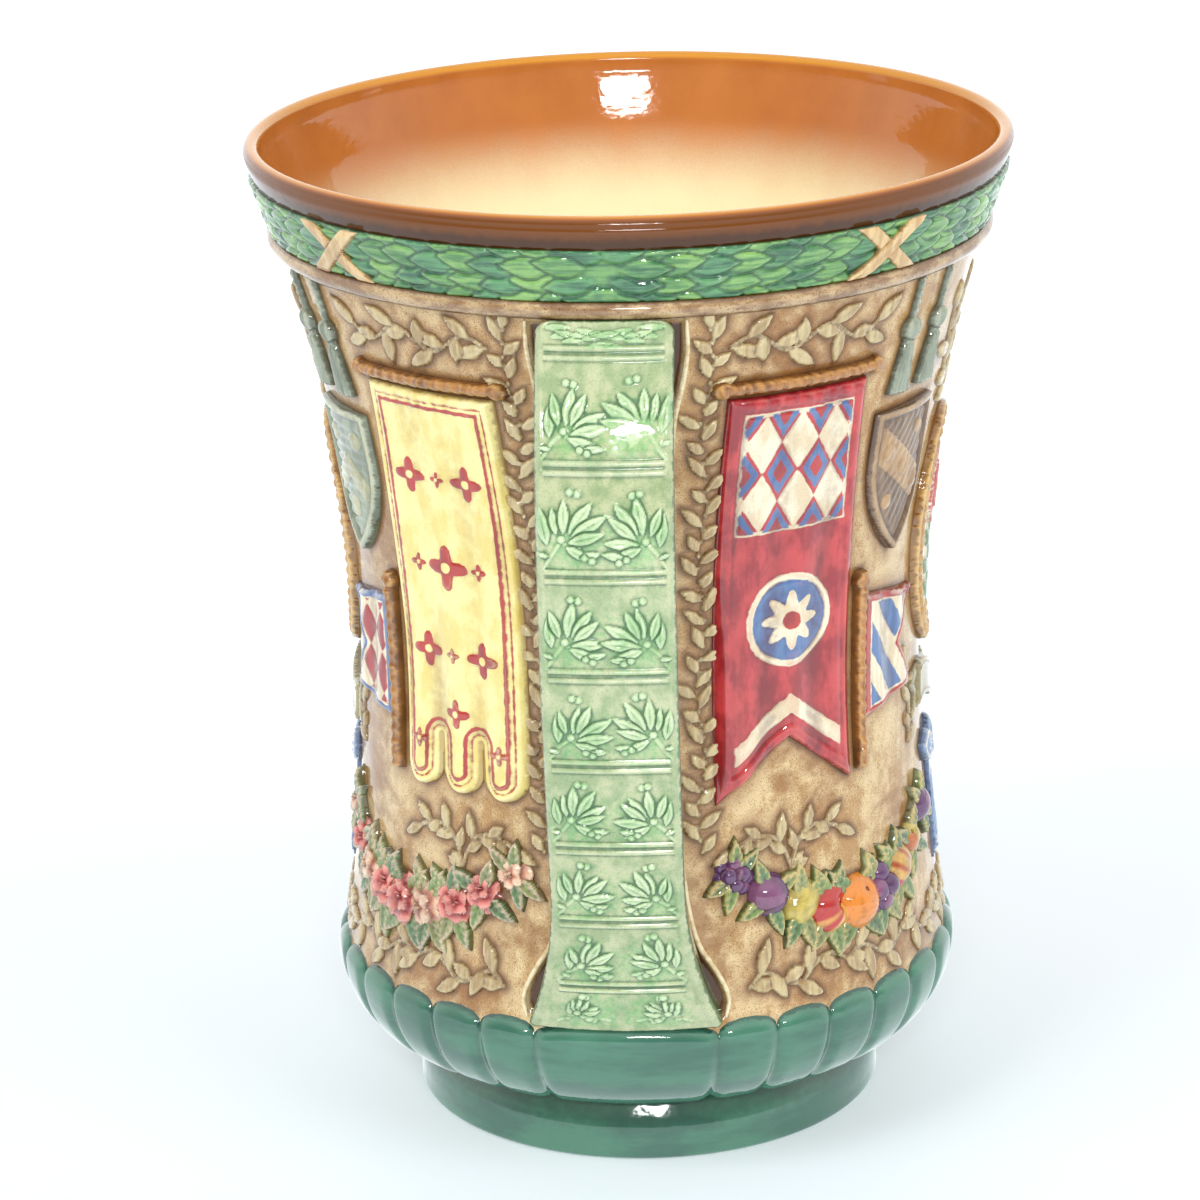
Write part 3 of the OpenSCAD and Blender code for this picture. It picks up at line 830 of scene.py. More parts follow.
@dataclass(frozen=True)
class WallGlaze(Glaze):
    """The wall's finish: brown lip, orange inside that fades to cream, and washed tan outside that darkens round the
    ornaments, partly as a wash and partly as painted shade.

    The sizes are distances along the section from the crest of the lip.
    """

    lip: Colour = (214, 144, 20)
    lip_brown_with_sheen: Colour = (108, 58, 8)
    lip_dark: Colour = (70, 36, 4)
    inside: Colour = (198, 122, 58)
    inside_deep: Colour = (170, 96, 42)
    cream: Colour = (248, 234, 188)
    broad: Colour = (142, 92, 46)
    hollow: Colour = (72, 46, 28)
    band: float = 11.5
    fade_start: float = 20.0
    fade_end: float = 48.0

    def colour(self, shader: Shader) -> Signal:
        """Paint the wall inside and out.

        Args:
            shader: The material.

        Returns:
            Its colour.
        """
        place = shader.painted("flat", "Vector")
        along = shader.painted("along")
        cloud = shader.noise(place, (0.07, 0.07, 0.045), 4.0)
        fine = shader.noise(place, (0.3, 0.3, 0.22), 3.0)
        grain = shader.noise(place, (2.6, 2.6, 2.6), 2.0)
        tone = shader.step(cloud * 0.5 + fine * 0.35 + grain * 0.25, 0.35, 0.78)
        outside = shader.mix(tone, self.ground, self.shade)
        brushed = shader.noise(place, (0.22, 0.05, 0.22), 4.0)
        patch = shader.noise(place, (0.022, 0.022, 0.022), 2.0)
        wash = shader.painted("wash")
        # Near each ornament the outside is painted darker, broad brown out to a few millimetres and the pool colour at
        # its foot: partly a brown wash, partly painted shade.
        for strength, paint in (
                (shader.step(patch * 0.6 + brushed * 0.4, 0.46, 0.8) * 0.7, self.broad),
                ((1.0 - shader.step(wash + cloud * 5.0, 0.5, 8.0)) * 0.65, self.broad),
                ((1.0 - shader.step(wash + fine * 1.2, 0.2, 2.6)) * self.pooling_and_shade, self.pool),
                (shader.step(grain, 0.6, 0.95) * self.speckle, self.pool)):
            outside = shader.mix(strength, outside, paint)
        sunk = 1.0 - shader.step(shader.painted("hollow"), -1.2, 0.0)
        outside = shader.mix(sunk, outside, shader.mix(fine, self.hollow, self.pool))
        brown = 1.0 - shader.step(along, self.band, self.band + 1.0)
        # The brown band under the lip is painted lighter in its upper part and darker lower down: the lighter upper
        # part is a painted reflection of the bright surroundings.
        edge = shader.mix(shader.step(along, 0.9, 2.4), self.inside_deep, self.lip_brown_with_sheen)
        edge = shader.mix(shader.step(along + fine, 6.0, 8.5), edge, self.lip_dark)
        outside = shader.mix(brown, outside, edge)
        deep = shader.mix(cloud * 0.5 + grain * 0.15, self.inside, self.inside_deep)
        reach = -along + cloud * 2.5 + grain * 2.5
        inner = shader.mix(shader.step(reach, self.fade_start, self.fade_end), deep, self.cream)
        colour = shader.mix(shader.step(along, -0.6, 0.6), inner, outside)
        crown = 1.0 - shader.step((along + 0.8).larger(-along - 0.8), 1.2, 2.5)
        return shader.mix(crown * 0.92, colour, self.lip)


# The wall

@dataclass
class CupWall:
    """The cast wall with its floor, its rounded lip and a hollow behind each handle."""

    form: CupForm
    hollow_depth: float = 1.6
    hollow_width: float = 26.0
    hollow_top_width: float = 39.0
    hollow_top_length: float = 36.0
    hollow_bottom_width: float = 54.0
    hollow_bottom_length: float = 28.0
    hollow_margin: float = 1.0
    edge_radius: float = 0.8
    mouth: tuple[Point, ...] = ((0.0, 0.42), (3.0, 0.225), (14.5, 0.262), (17.0, 0.4), (24.0, 0.47),
                                (34.0, 0.4), (46.0, 0.33), (62.0, 0.28))
    lip_radius: float = 2.1
    row_pitch: float = 1.25
    column_pitch: float = 0.9
    fine_pitch: float = 0.5
    fine_half: float = 22.0
    unevenness: float = 0.12
    wash_and_shade_reach: float = 14.0
    shapes: list[tuple[Seat, Field, float]] = field(default_factory=list)

    def hollow_side(self) -> list[Point]:
        """List one side of a hollow's outline from its lower end up, rounded at its corners.

        Returns:
            Points, each as a distance from the middle and a height.
        """
        bottom, top = self.form.field_bottom + self.hollow_margin, self.form.field_top - self.hollow_margin
        side = np.array([
            (self.hollow_bottom_width / 2 - 1.5, bottom),
            (self.hollow_bottom_width / 2, bottom + self.hollow_bottom_length / 4),
            (self.hollow_width / 2, bottom + self.hollow_bottom_length),
            (self.hollow_width / 2, top - self.hollow_top_length),
            (self.hollow_top_width / 2, top - self.hollow_top_length / 3),
            (self.hollow_top_width / 2, top)])
        for _ in range(4):
            cut = np.concatenate([0.75 * side[:-1] + 0.25 * side[1:], 0.25 * side[:-1] + 0.75 * side[1:]], axis=1)
            side = np.concatenate([side[:1], cut.reshape(-1, 2), side[-1:]])
        return [tuple(p) for p in side]

    def hollow(self) -> Field:
        """Make the signed distance to a hollow's outline."""
        side = self.hollow_side()[::4]
        return polygon([*side, *[(-x, z) for x, z in reversed(side)]])

    def section(self) -> tuple[Array, Array, Array, slice]:
        """Draw the section from the middle of the underside, over the lip, to the middle of the floor.

        Returns:
            Radii, heights, distances along the section from the lip's crest, and the outer wall's rows.
        """
        f = self.form
        lip, lip_z = self.lip_radius, f.height - self.lip_radius
        turn = np.radians(np.linspace(-90, 0, 14, endpoint=False))
        under = np.array([10.0, 24, 38, 48])
        outer_z = np.concatenate([np.arange(f.belly_z, f.field_top, self.row_pitch),
                                  np.linspace(f.field_top, lip_z, 12)])
        over = np.radians(np.linspace(0, 180, 13))
        inner_z = np.concatenate([np.linspace(lip_z - 2.0, 190, 48), np.linspace(188, f.belly_z, 24)])
        slope = np.gradient(f.radius(inner_z), inner_z)
        inner_r = f.radius(inner_z) - f.wall * np.sqrt(1 + slope ** 2)
        down = inner_z[0] - inner_z
        slope = np.interp(down, *zip(*self.mouth))
        mouth = f.rim_radius - 2 * lip - np.cumsum(slope * np.gradient(down)) + slope[0] * down[1]
        inner_r = np.logaddexp(inner_r, mouth)
        bowl = np.radians(np.linspace(-8, -71.8, 9))
        bowl_radius = f.shoulder_radius - f.wall
        ground = np.linspace(54, 8, 5)
        r = np.concatenate([
            under, f.shoulder_centre + f.shoulder_radius * np.cos(turn), f.radius(outer_z),
            f.rim_radius - lip + lip * np.cos(over), inner_r, f.shoulder_centre + bowl_radius * np.cos(bowl), ground])
        z = np.concatenate([
            np.full(4, f.base_z), f.belly_z + f.shoulder_radius * np.sin(turn), outer_z,
            lip_z + lip * np.sin(over), inner_z, f.belly_z + bowl_radius * np.sin(bowl),
            np.full(5, f.base_z + f.floor)])
        first = len(under) + len(turn)
        crest = first + len(outer_z) + len(over) // 2
        along = np.concatenate([[0], np.cumsum(np.hypot(np.diff(r), np.diff(z)))])
        return r, z, along[crest] - along, slice(first, first + len(outer_z))

    def angles(self) -> Array:
        """List the angles of the mesh, closer together behind the handles.

        Returns:
            Angles that rise over a whole turn.
        """
        half = self.fine_half
        return np.concatenate([np.arange(start + low, start + high, pitch) for start in SIDES.values()
                               for low, high, pitch in ((-half, half, self.fine_pitch),
                                                        (half, 180 - half, self.column_pitch))])

    def wash(self, radius: Array, angle: Array, z: Array) -> Array:
        """Measure how far points of the wall lie from the nearest ornament.

        Args:
            radius: Radii of the points.
            angle: Their angles.
            z: Their heights.

        Returns:
            Distances in millimetres, up to the reach of the wash and painted shade.
        """
        nearest = np.full(z.shape, self.wash_and_shade_reach)
        for seat, outline, size in self.shapes:
            turn = (angle - seat.angle + 180) % 360 - 180
            near = (np.abs(turn) < 65) & (np.abs(z - seat.z) < size + self.wash_and_shade_reach)
            x, y = seat.seen(radius[near], seat.angle + turn[near], z[near])
            nearest[near] = np.minimum(nearest[near], outline(x, y))
        return nearest

    def build(self) -> bpy.types.Object:
        """Model the wall.

        Returns:
            The piece.
        """
        r, z, along, outer = self.section()
        angles = self.angles()
        a, zz = np.meshgrid(angles, z, indexing="ij")
        rr, aa = np.tile(r, (len(angles), 1)), np.tile(along, (len(angles), 1))
        sunk, washed_and_shaded = np.full(rr.shape, 9.0), np.full(rr.shape, self.wash_and_shade_reach)
        hollow = self.hollow()
        side = rr[:, outer] * np.sin(np.radians(a[:, outer]))
        sunk[:, outer] = hollow(side, zz[:, outer])
        washed_and_shaded[:, outer] = self.wash(rr[:, outer], a[:, outer], zz[:, outer])
        rr = rr - self.hollow_depth * smooth(-sunk, -0.4, 0.9)
        uneven = np.sin(zz / 9 + 3 * np.sin(np.radians(a * 5))) * np.sin(np.radians(a * 17) + zz / 21)
        rr[:, outer] += self.unevenness * uneven[:, outer] * (zz[:, outer] < self.form.field_top)
        points = spun(angles, rr, zz).reshape(-1, 3)
        index = np.arange(rr.size).reshape(rr.shape)
        ahead = np.roll(index, -1, axis=0)
        quads = np.stack([index[:, :-1], ahead[:, :-1], ahead[:, 1:], index[:, 1:]], -1).reshape(-1, 4)
        poles = np.array([[0, 0, z[0]], [0, 0, z[-1]]])
        n = len(points)
        caps = [np.stack([np.full(len(angles), n), ahead[:, 0], index[:, 0]], -1),
                np.stack([np.full(len(angles), n + 1), index[:, -1], ahead[:, -1]], -1)]
        points = np.concatenate([points, poles])
        ends = np.array([[0], [-1]])
        paint = {name: np.concatenate([v.reshape(-1), v[0, ends].reshape(-1)])
                 for name, v in {"along": aa, "hollow": sunk, "wash": washed_and_shaded}.items()}
        sculpt = Sculpt()
        sculpt.add(points, [quads, *caps], {"flat": points, **paint})
        return sculpt.piece("cup_wall")

    def build_edge(self, angle: float, name: str) -> bpy.types.Object:
        """Model the pale raised edge of one hollow.

        Args:
            angle: Angle of the handle in front of it.
            name: The piece's name.

        Returns:
            The piece.
        """
        sculpt = Sculpt()
        seat = Seat(angle, 0.0)
        side = np.array(self.hollow_side())
        sizes = self.edge_radius * np.sqrt(np.sin(np.linspace(0.15, np.pi - 0.15, len(side))))
        for mirror in (-1, 1):
            path = seat.place(self.form, mirror * (side[:, 0] + 0.3), side[:, 1], np.full(len(side), 0.1))
            tube_shell(sculpt, path, sizes)
        return sculpt.piece(name)


def tube_shell(sculpt: Sculpt, path: Array, sizes: Array, corners: int = 10) -> None:
    """Add a round rod along a path on the wall.

    Args:
        sculpt: What it is added to.
        path: Points along its middle.
        sizes: Its radius at each point.
        corners: Corners of its section.
    """
    ahead, out = unit(np.gradient(path, axis=0)), unit(path * [1, 1, 0])
    out = unit(out - (out * ahead).sum(1, keepdims=True) * ahead)
    across = np.cross(ahead, out)
    turn = np.radians(ring_angles(corners))[:, None]
    ring = out[:, None] * np.cos(turn) + across[:, None] * np.sin(turn)
    points = (path[:, None] + sizes[:, None, None] * ring).reshape(-1, 3)
    index = np.arange(len(points)).reshape(len(path), corners)
    quads = woven(index, np.roll(index, -1, axis=1))
    depth = np.full(len(points), 5.0)
    sculpt.add(points, [quads, index[:1, ::-1], index[-1:]], {"flat": points, "depth": depth})


# Bands under the lip

@dataclass
class LipBands:
    """The laurel under the lip, the ribbons that bind it and the cornice below it."""

    form: CupForm
    columns: int = 1360
    cornice_columns: int = 720
    rows: int = 30
    sink: float = 0.6
    leaf_length: float = 13.5
    leaf_width: float = 6.2
    leaf_pitch: float = 8.2
    leaf_rows: tuple[float, ...] = (-4.9, 4.9, -1.6, 1.8)
    leaf_start: float = -0.35
    leaf_stagger: float = 0.27
    leaf_sway: float = 5.0
    leaf_spread: float = 2.4
    berry: float = 1.1
    ribbon_width: float = 3.8
    ribbon_slant: float = 38.0
    ribbon_relief: float = 1.2
    tie_angles: tuple[float, ...] = (45.0, 135.0, 225.0, 315.0)

    def build_laurel(self) -> bpy.types.Object:
        """Model overlapping leaves that run from each handle towards the sides.

        Returns:
            The piece.
        """
        f = self.form
        angles = ring_angles(self.columns)
        up = np.linspace(-f.laurel_depth / 2, f.laurel_depth / 2, self.rows)
        z_middle = f.laurel_bottom + f.laurel_depth / 2
        girth = 2 * np.pi * float(f.radius(z_middle))
        s, y = np.meshgrid(angles / 360 * girth, up, indexing="ij")
        bed = LeafBed(s, y, 0.3)
        for start, way in ((0, 1), (girth / 2, -1), (girth / 2, 1), (girth, -1)):
            for k in reversed(range(int(girth / 4 / self.leaf_pitch) + 1)):
                for row, level in enumerate(self.leaf_rows):
                    along = (k + self.leaf_start + self.leaf_stagger * row) * self.leaf_pitch
                    if along + 0.5 * self.leaf_length > girth / 4:
                        continue
                    lean = self.leaf_sway * math.sin(2.4 * k + 1.7 * row + start) + self.leaf_spread * level
                    turn = lean if way > 0 else 180 - lean
                    leaf = Leaf(start + way * along, level, turn, self.leaf_length, self.leaf_width)
                    near = slice(*np.searchsorted(s[:, 0], (leaf.x - 21, leaf.x + 21)))
                    bed.lay(near, leaf, 0.7, 0.8, 0.9, math.sin(3.7 * k + 5.3 * row + 0.01 * start))
                if k % 3 == 1:
                    place = start + way * (k + 0.4) * self.leaf_pitch
                    near = slice(*np.searchsorted(s[:, 0], (place - 4, place + 4)))
                    bed.dot(near, place, 2.2 * math.sin(1.9 * k), self.berry)
        height = blurred(bed.height, 1)
        crest = height - blurred(height, 7)
        depth = f.laurel_depth / 2 - np.abs(y)
        tint = blurred(bed.tint, 6)
        round_off = dome(f.laurel_depth / 2 - np.abs(y) + 0.15, 1.0, 1.3)
        outer = f.radius(z_middle + y) + height * round_off
        back = np.linspace(up[-1], up[0], 5)
        painted = {"depth": depth, "crest": crest, "bright": 0.3 - tint, "teal": 0.4 + tint}
        return ring_piece("laurel_leaves", angles, backed(outer, f.radius(z_middle + back) - self.sink),
                          z_middle + np.concatenate([up, back]),
                          {name: backed(values, np.zeros(len(back))) for name, values in painted.items()})

    def build_tie(self, number: int) -> bpy.types.Object:
        """Model one pair of crossed ribbons.

        Args:
            number: Which tie, counted from 1.

        Returns:
            The piece.
        """
        f = self.form
        half = self.ribbon_width / 2
        limit = f.laurel_depth / 2 - 0.3

        def strips_at(x: Array, y: Array) -> list[Array]:
            """Measure how far points lie outside each ribbon."""
            return [np.abs(y * c - x * s) - half for c, s in map(heading, (self.ribbon_slant, -self.ribbon_slant))]

        def outline(x: Array, y: Array) -> Array:
            """Measure how far points lie from both ribbons within the band."""
            return np.maximum(np.minimum(*strips_at(x, y)), np.abs(y) - limit)

        relief = Relief(outline, (-14, -limit), (14, limit), 0.35)
        over, under = strips_at(relief.x, relief.y)
        strips = [dome(-d, self.ribbon_relief, 0.9) - 0.3 * ridge(d + half, 0.8) for d in (over, under)]
        relief.height = 0.5 + np.where(over < 0.25, np.maximum(strips[0], 0.1), 0.55 * np.maximum(strips[1], 0.1))
        relief.height *= 0.55 + 0.45 * smooth(limit - np.abs(relief.y), 0.0, 1.6)
        relief.depth = np.maximum(-over, np.where(over < 0, -1, -under)) + 0.2
        sculpt = Sculpt()
        seat = Seat(self.tie_angles[number - 1], f.laurel_bottom + f.laurel_depth / 2, f.laurel_relief - 0.5)
        relief.lute(sculpt, f, seat, 1.2)
        return sculpt.piece(f"crossed_ribbon_{number}")

    def build_cornice(self) -> bpy.types.Object:
        """Model the moulding under the laurel, a little uneven as brushed clay is.

        Returns:
            The piece.
        """
        f = self.form
        angles = ring_angles(self.cornice_columns)
        share = np.linspace(0, 1, 14)
        z_front = f.field_top + share * f.cornice_depth
        swell = f.cornice_relief * (0.25 + 0.75 * np.sin(np.pi * np.clip(share * 0.85 + 0.12, 0, 1)) ** 0.7)
        wave = 0.12 * np.sin(np.radians(angles * 9)) * np.sin(np.radians(angles * 23 + 40))
        outer = f.radius(z_front) + swell + wave[:, None]
        z_back = z_front[::-3]
        edge = np.minimum(share, 1 - share) * f.cornice_depth
        return ring_piece("cornice_ring", angles, backed(outer, f.radius(z_back) - self.sink),
                          np.concatenate([z_front, z_back]),
                          {"depth": np.concatenate([edge, np.zeros(len(z_back))])})


# The base

@dataclass
class LobedBase:
    """The band of lobes under the belly and the foot ring that carries the cup."""

    form: CupForm
    lobe_columns: int = 1152
    foot_columns: int = 480
    lobes_per_side: int = 13
    wide_pitches: float = 3.0
    relief: float = 2.6
    bottom_angle: float = 66.0
    crown: float = 3.5
    lower_crown: float = 3.4
    groove: float = 0.5
    groove_width: float = 1.9
    foot_radius: float = 63.0
    foot_wall: float = 9.0
    foot_top_radius: float = 6.5
    foot_edge_radius: float = 1.5
    foot_face: float = 9.0
    foot_slope: float = 0.488
    sink: float = 0.9

    def lobes(self) -> list[tuple[float, float]]:
        """List each lobe's middle and half angle.

        Returns:
            Pairs of angles.
        """
        pitch = 180 / (self.lobes_per_side + self.wide_pitches)
        found = []
        for start in (0, 180):
            found.append((start, pitch * self.wide_pitches / 2))
            found += [(start + pitch * (self.wide_pitches / 2 + i + 0.5), pitch / 2)
                      for i in range(self.lobes_per_side)]
        return found

    def build_lobes(self) -> bpy.types.Object:
        """Model the lobes as one swelling band with grooves between them.

        Returns:
            The piece.
        """
        f = self.form
        angles = ring_angles(self.lobe_columns)
        slope = np.radians(np.linspace(f.lobe_top_angle + 5, -self.bottom_angle - 3, 46))
        base_z = f.belly_z + f.shoulder_radius * np.sin(slope)
        base_r = f.radius(base_z)
        t = -f.shoulder_radius * slope
        start = -f.shoulder_radius * math.radians(f.lobe_top_angle)
        end = f.shoulder_radius * math.radians(self.bottom_angle)
        depth, soft = np.full((len(angles), len(t)), -3.0), np.ones((len(angles), len(t)))
        for middle, half in self.lobes():
            turn = (angles - middle + 180) % 360 - 180
            near = np.abs(turn) <= half
            across = np.radians(half - np.abs(turn[near]))[:, None] * base_r[None]
            share = np.abs(turn[near])[:, None] / half
            top = start + self.crown * (1 - np.sqrt(np.clip(1 - share ** 2.4, 0, 1)))
            low = end - self.lower_crown * (1 - np.sqrt(np.clip(1 - share ** 3.0, 0, 1)))
            depth[near] = np.minimum(t[None] - top, low - t[None])
            soft[near] = 1 - self.groove * np.exp(-(across / self.groove_width) ** 2)
        swell = 0.62 + 0.38 * np.sin(np.pi * np.clip((t - start) / (end - start), 0, 1)) ** 0.8
        height = 0.25 + np.where(depth > 0, dome(depth, self.relief, 4.2) * swell * soft, np.clip(depth, -1, 0) * 0.8)
        crest = height - blurred(height, 12)
        lift = height + np.where((t > end) | (t < start - 1.0), -0.6, 0.0)
        back, inner = slope[::-6], f.shoulder_radius - self.sink
        r = backed(base_r + lift * np.cos(slope), f.shoulder_centre + inner * np.cos(back))
        z = backed(base_z + lift * np.sin(slope), f.belly_z + inner * np.sin(back))
        paint = {name: backed(values, np.zeros(len(back)))[:, ::-1]
                 for name, values in {"depth": depth, "crest": crest}.items()}
        return ring_piece("lobe_ring", angles, r[:, ::-1], z[:, ::-1], paint)

    def build_foot(self) -> bpy.types.Object:
        """Model the foot ring, seated under the shoulder, painted darker towards its top as shade under the lobes.

        Returns:
            The piece.
        """
        f = self.form
        angles = ring_angles(self.foot_columns)
        inner = self.foot_radius - self.foot_wall
        low, high = self.foot_edge_radius, self.foot_top_radius
        seat = f.belly_z - math.sqrt(f.shoulder_radius ** 2 - (self.foot_radius - high - f.shoulder_centre) ** 2)
        rise = high * np.sin(np.radians(np.linspace(0, 90, 26)))
        outer_z = np.concatenate([np.linspace(low, seat - high, 8)[1:-1], seat - high + rise])
        arc = self.foot_radius - high + np.sqrt(high ** 2 - np.clip(outer_z - seat + high, 0, high) ** 2)
        face = self.foot_radius - self.foot_slope * np.logaddexp(0, outer_z - seat + self.foot_face)
        outer_r = -np.logaddexp(-4 * face, -4 * arc) / 4
        section = [(inner, f.base_z + 0.3), (inner, 9.0), (inner, 1.0), (inner + 1.0, 0.0), (inner + 4, 0.0),
                   *arc_points(self.foot_radius - low, low, low, -90, 0, 7), *zip(outer_r, outer_z),
                   (self.foot_radius - high - 2, seat + 0.2)]
        r, z = np.array(section).T
        wave = 0.1 * np.sin(np.radians(angles * 7 + 30)) * np.sin(np.radians(angles * 3))
        r = r + wave[:, None] * (z > low)
        top = np.clip(seat - z, 0, 9) + np.clip(r - (self.foot_radius - high), -3, 9)
        # Painted shade under the lobes: a negative crest darkens the foot towards its top.
        shade = -0.26 * smooth(z, 5, seat - 3)
        return ring_piece("foot", angles, r, z, {"depth": np.maximum(top, 0.0), "crest": shade})


# The handles

@dataclass
class StrapHandle:
    """A bowed strap with pairs of ridges across it and laurel sprays in the panels between them."""

    form: CupForm
    reach: float = 110.0
    reach_z: float = 180.0
    thickness: float = 8.0
    width: float = 34.0
    flare_width: float = 50.0
    flare_height: float = 44.0
    end_relief: float = 2.8
    ridge_pairs: int = 8
    top_panel: float = 8.0
    last_panel: float = 15.5
    panel_step: float = 1.05
    ridge_spacing: float = 2.4
    corner_radius: float = 3.0
    pool_place: Point = (7.0, -28.0)
    pool_size: Point = (10.0, 5.5)
    pool_level: float = 0.5
    berry: float = 0.95
    top_leaves: int = 9
    top_leaf: Point = (7.5, 1.7)
    fan: tuple[tuple[float, float, float, float], ...] = (
        (-3.4, -1.4, 96, 9.4), (-3.0, -4.2, 165, 3.4), (-1.2, 1.4, 104, 7.8), (0.6, 1.6, 82, 9.6), (1.8, 1.6, 58, 9.8),
        (2.2, 0.6, 33, 10.2), (1.6, -0.6, 9, 10.0), (1.0, -1.4, -24, 8.4), (4.6, -4.0, 6, 6.0))
    columns: int = 118
    rows: int = 600

    def face(self, share: Array) -> tuple[Array, Array, Array, float]:
        """Follow the strap's outer face from its top to its lower end.

        Args:
            share: Shares of the strap's length.

        Returns:
            Radii, heights, tilts of the face in radians, and the strap's length.
        """
        f = self.form
        top_r = float(f.radius(f.field_top)) + f.cornice_relief
        bottom_r = float(f.radius(f.field_bottom)) + self.end_relief
        lengths, arcs = [], []
        for rise, bow in ((f.field_top - self.reach_z, self.reach - top_r),
                          (self.reach_z - f.field_bottom, self.reach - bottom_r)):
            arcs.append(arc_radius(rise, bow))
            lengths.append(arcs[-1] * math.asin(rise / arcs[-1]))
        s = share * sum(lengths)
        tilt = np.where(s < lengths[0], (lengths[0] - s) / arcs[0], (lengths[0] - s) / arcs[1])
        arc = np.where(s < lengths[0], arcs[0], arcs[1])
        return self.reach - arc * (1 - np.cos(tilt)), self.reach_z + arc * np.sin(tilt), tilt, sum(lengths)

    def ridges(self, length: float) -> list[float]:
        """List how far along the strap each pair of ridges lies.

        Args:
            length: The strap's length.

        Returns:
            Distances from its top.
        """
        graded = length - self.top_panel - self.last_panel
        first = graded / (self.ridge_pairs - 1) + self.panel_step * (self.ridge_pairs - 2) / 2
        return [self.top_panel + i * first - self.panel_step * i * (i - 1) / 2 for i in range(self.ridge_pairs)]

    def spray(self, bed: LeafBed, window: slice, panel: int, top: float, bottom: float, side: int) -> None:
        """Lay one laurel spray with its stem and berries.

        Args:
            bed: What it is laid on.
            window: Rows of the panel.
            panel: The panel's number, which varies the spray.
            top: Where the panel starts along the strap, as a height that falls.
            bottom: Where it ends.
            side: 1 for the right side and -1 for the left.
        """
        room = top - bottom
        size = min(1.0, room / 24)
        sway = math.sin(panel * 2.1 + 1.3 * side)
        node = (side * (10.2 + 0.5 * sway), bottom + (0.31 + 0.02 * sway) * room)
        low = bottom + 0.08 * room
        stalk = [(side * 15.0, bottom + 0.5), (side * 14.2, low), (side * 12.6, low + 2.6 * size), node]
        twig = [node, (side * 7.6, low + 2.4 * size), (side * 5.2, low + 1.0), (side * 3.2, low + 0.4)]
        bed.stem(window, stalk, 0.4, 0.4)
        bed.stem(window, twig, 0.35, 0.4)
        for k, (inward, up, turn, length) in enumerate(self.fan):
            angle = turn + 7 * math.sin(panel * 1.9 + k * 2.3 + side)
            reach = length * size * (1 + 0.1 * math.sin(panel * 2.7 + k * 1.3 + side))
            leaf = Leaf(node[0] - side * inward * size, node[1] + up * size, 180 - angle if side > 0 else angle,
                        reach, 0.33 * reach)
            bed.lay(window, leaf, 0.95, 0.15, 0.6)
        for inward, up in ((0.0, 0.2), (6.8 + sway, -5.0), (5.0 + sway, -4.2), (3.4 + sway, 11.6), (1.6 + sway, 12.0)):
            bed.dot(window, node[0] - side * inward * size, node[1] + up * size, self.berry)
        away = np.hypot(bed.x[window] - node[0] + 3 * side, bed.y[window] - node[1])
        bed.tint[window] = np.minimum(bed.tint[window], away)

    def model(self, x: Array, y: Array, length: float) -> LeafBed:
        """Model the ornament on the strap's face.

        Args:
            x: Places across the strap.
            y: Places along it, 0 at its top and falling.
            length: The strap's length.

        Returns:
            The bed of leaves.
        """
        bed = LeafBed(x, y, 0.0)
        bed.tint += self.width
        places = self.ridges(length)
        for panel, (top, bottom) in enumerate(zip(places, [*places[1:], length - 1.0])):
            window = slice(*np.searchsorted(-y[:, 0], (top, bottom)))
            for side in (-1, 1):
                self.spray(bed, window, panel, -top - 1.5, -bottom + 1.5, side)
        window = np.s_[:np.searchsorted(-y[:, 0], self.top_panel)]
        for side in (-1, 1):
            for k in range(self.top_leaves):
                lean = 14 * math.sin(2.3 * k)
                leaf = Leaf(side * (15.2 - 1.6 * k), -1.6 - 4.2 * (k * 0.62 % 1),
                            180 - lean if side > 0 else lean, *self.top_leaf)
                bed.lay(window, leaf, 0.5, 0.1, 0.3)
        span = smooth(np.abs(x), self.width / 2 - 1.6, self.width / 2 - 2.6)
        for place in places:
            for half in (-0.5, 0.5):
                away = np.abs(y + place + half * self.ridge_spacing)
                bed.height = np.maximum(bed.height, 0.6 * ridge(np.maximum(away - 0.25, 0), 0.4) * span)
                bed.height -= 0.22 * ridge(away - 0.95, 0.28) * span
        return bed

    def build(self, angle: float, name: str) -> bpy.types.Object:
        """Model the handle.

        Args:
            angle: Its angle round the cup.
            name: The piece's name.

        Returns:
            The piece.
        """
        f = self.form
        share = np.linspace(0, 1, self.rows)
        r, z, tilt, length = self.face(share)
        flare = (self.flare_width - self.width) / 2
        flare_arc = arc_radius(self.flare_height, flare)
        below = np.clip(f.field_bottom + self.flare_height - z, 0, self.flare_height)
        half = self.width / 2 + flare_arc - np.sqrt(flare_arc ** 2 - below ** 2)
        corner = np.clip(1 - share * length / self.corner_radius, 0, 1)
        half = half - self.corner_radius * (1 - np.sqrt(1 - corner ** 2))
        across = np.sin(np.linspace(-1, 1, self.columns) * np.pi / 2 * 0.82) / math.sin(np.pi / 2 * 0.82)
        x = half[:, None] * across
        y = np.tile(-share[:, None] * length, (1, self.columns))
        drawn = x / half[:, None] * (self.width / 2) * (1 + 0.55 * (half[:, None] / (self.width / 2) - 1))
        bed = self.model(drawn, y, length)
        height, inside = bed.height, bed.depth
        pool = np.hypot((drawn - self.pool_place[0]) / self.pool_size[0],
                        (y - self.pool_place[1]) / self.pool_size[1])
        height = height + (1 - smooth(pool, 0.5, 1.2)) * (self.pool_level - height)
        edge = half[:, None] - np.abs(x)
        height = height * smooth(edge, 0.3, 1.6) + 0.28 * ridge(edge - 1.5, 0.7) - 1.5 * (1 - dome(edge, 1.0, 1.7))
        crest = height - blurred(height, 12)
        behind = np.array([1.0, 0.94, 0.8, 0.45, 0.0, -0.45, -0.8, -0.94, -1.0])
        back = -self.thickness + 1.8 * np.abs(behind) ** 6
        lift = backed(height, back)
